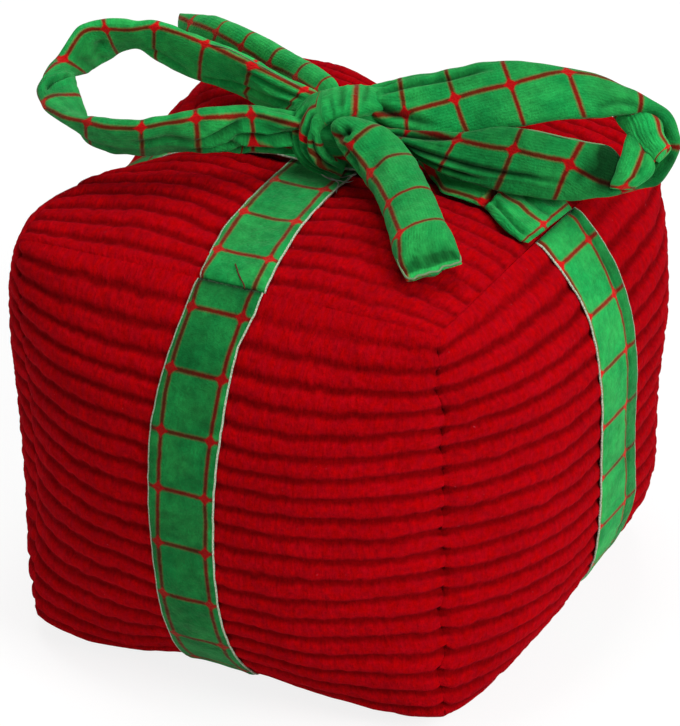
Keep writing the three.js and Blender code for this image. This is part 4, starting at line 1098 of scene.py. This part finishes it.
def fibre():
    n = Nodes("white_fibre")
    place = n.put("ShaderNodeTexCoord", out=3)
    strand = n.pile(place, 900, 250, rough=0.7, z=600)
    colour = n.mix(strand, (0.55, 0.55, 0.52), (0.85, 0.84, 0.8))
    return n.finish(colour, 1.0, n.bump(strand, 0.8, 0.001), sheen=0.3)


FIBRE = fibre()


SQUEAKER_ROOM = 30


def wad(name, node):
    """A wad of fibre in place of a fill solid: its outer surface, which is further out than the squeaker's room, is
    drawn in unevenly."""
    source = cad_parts[node]
    mesh = source.data.copy()
    mesh.name = name
    piece = bpy.data.objects.new(name, mesh)
    scene.collection.objects.link(piece)
    co = np.array([v.co for v in mesh.vertices]) / MM
    middle = np.array([0, 0, CENTRE])
    far = np.linalg.norm(co - middle, axis=1) > SQUEAKER_ROOM
    inward = 2.4 + 1.2 * np.abs(noise3(co / 9.0, 81))
    co -= unit(co - middle) * np.where(far, inward, 0)[:, None]
    mesh.vertices.foreach_set("co", (co * MM).astype(np.float32).ravel())
    mesh.materials.clear()
    mesh.update()
    dress(piece, "box", [node], [FIBRE])


wad("lower_wad", "lower_fill")
wad("upper_wad", "upper_fill")


# Floor, light and background

# The floor's sizes are in metres. Its own colour carries a quarter of what is seen of it, with the shadow, and a glow
# the rest.
FLOOR_SIZE = 8
FLOOR_DROP = 0.0002
FLOOR_GLOW = 1.12
FLOOR_SHARE = 0.75
WORLD_LIGHT = 0.24


def make_floor():
    bpy.ops.mesh.primitive_plane_add(size=FLOOR_SIZE, location=(0, 0, -FLOOR_DROP))
    floor = bpy.context.object
    floor.name = "floor"
    n = Nodes("pale_floor")
    n.finish((0.8, 0.8, 0.8), 0.9, specular=0.0)
    white = n.put("ShaderNodeEmission", {"Color": (1, 1, 1, 1), "Strength": FLOOR_GLOW})
    share = n.times(n.background_rays(), FLOOR_SHARE)
    mixed = n.put("ShaderNodeMixShader", {0: share, 1: n.shader.outputs[0], 2: white})
    n.tree.links.new(mixed, n.tree.nodes["Material Output"].inputs[0])
    floor.data.materials.append(n.owner)


make_floor()


def area(name, place, target, size, power, colour=(1, 1, 1)):
    data = bpy.data.lights.new(name, "AREA")
    data.shape = "DISK"
    data.size = size
    data.energy = power
    data.color = colour
    lamp = bpy.data.objects.new(name, data)
    lamp.location = place
    lamp.rotation_euler = (Vector(target) - Vector(place)).to_track_quat("-Z", "Y").to_euler()
    scene.collection.objects.link(lamp)


area("key", (1.0, -0.3, 0.77), (0, 0, 0.06), 0.6, 11.5)
area("front", (-0.4, -1.2, 0.7), (0, 0, 0.06), 0.8, 1.6)
area("overhead", (-0.1, 0.1, 1.3), (0, 0, 0.1), 0.7, 7.5)

scene.world = bpy.data.worlds.new("studio")
studio = Nodes("studio", scene.world)
strength = studio.put("ShaderNodeMix", {0: studio.background_rays(), 2: WORLD_LIGHT, 3: 1.0})
studio.set(studio.tree.nodes["Background"].inputs[0], (1, 1, 1, 1))
studio.set(studio.tree.nodes["Background"].inputs[1], strength)
scene.view_settings.view_transform = "Standard"
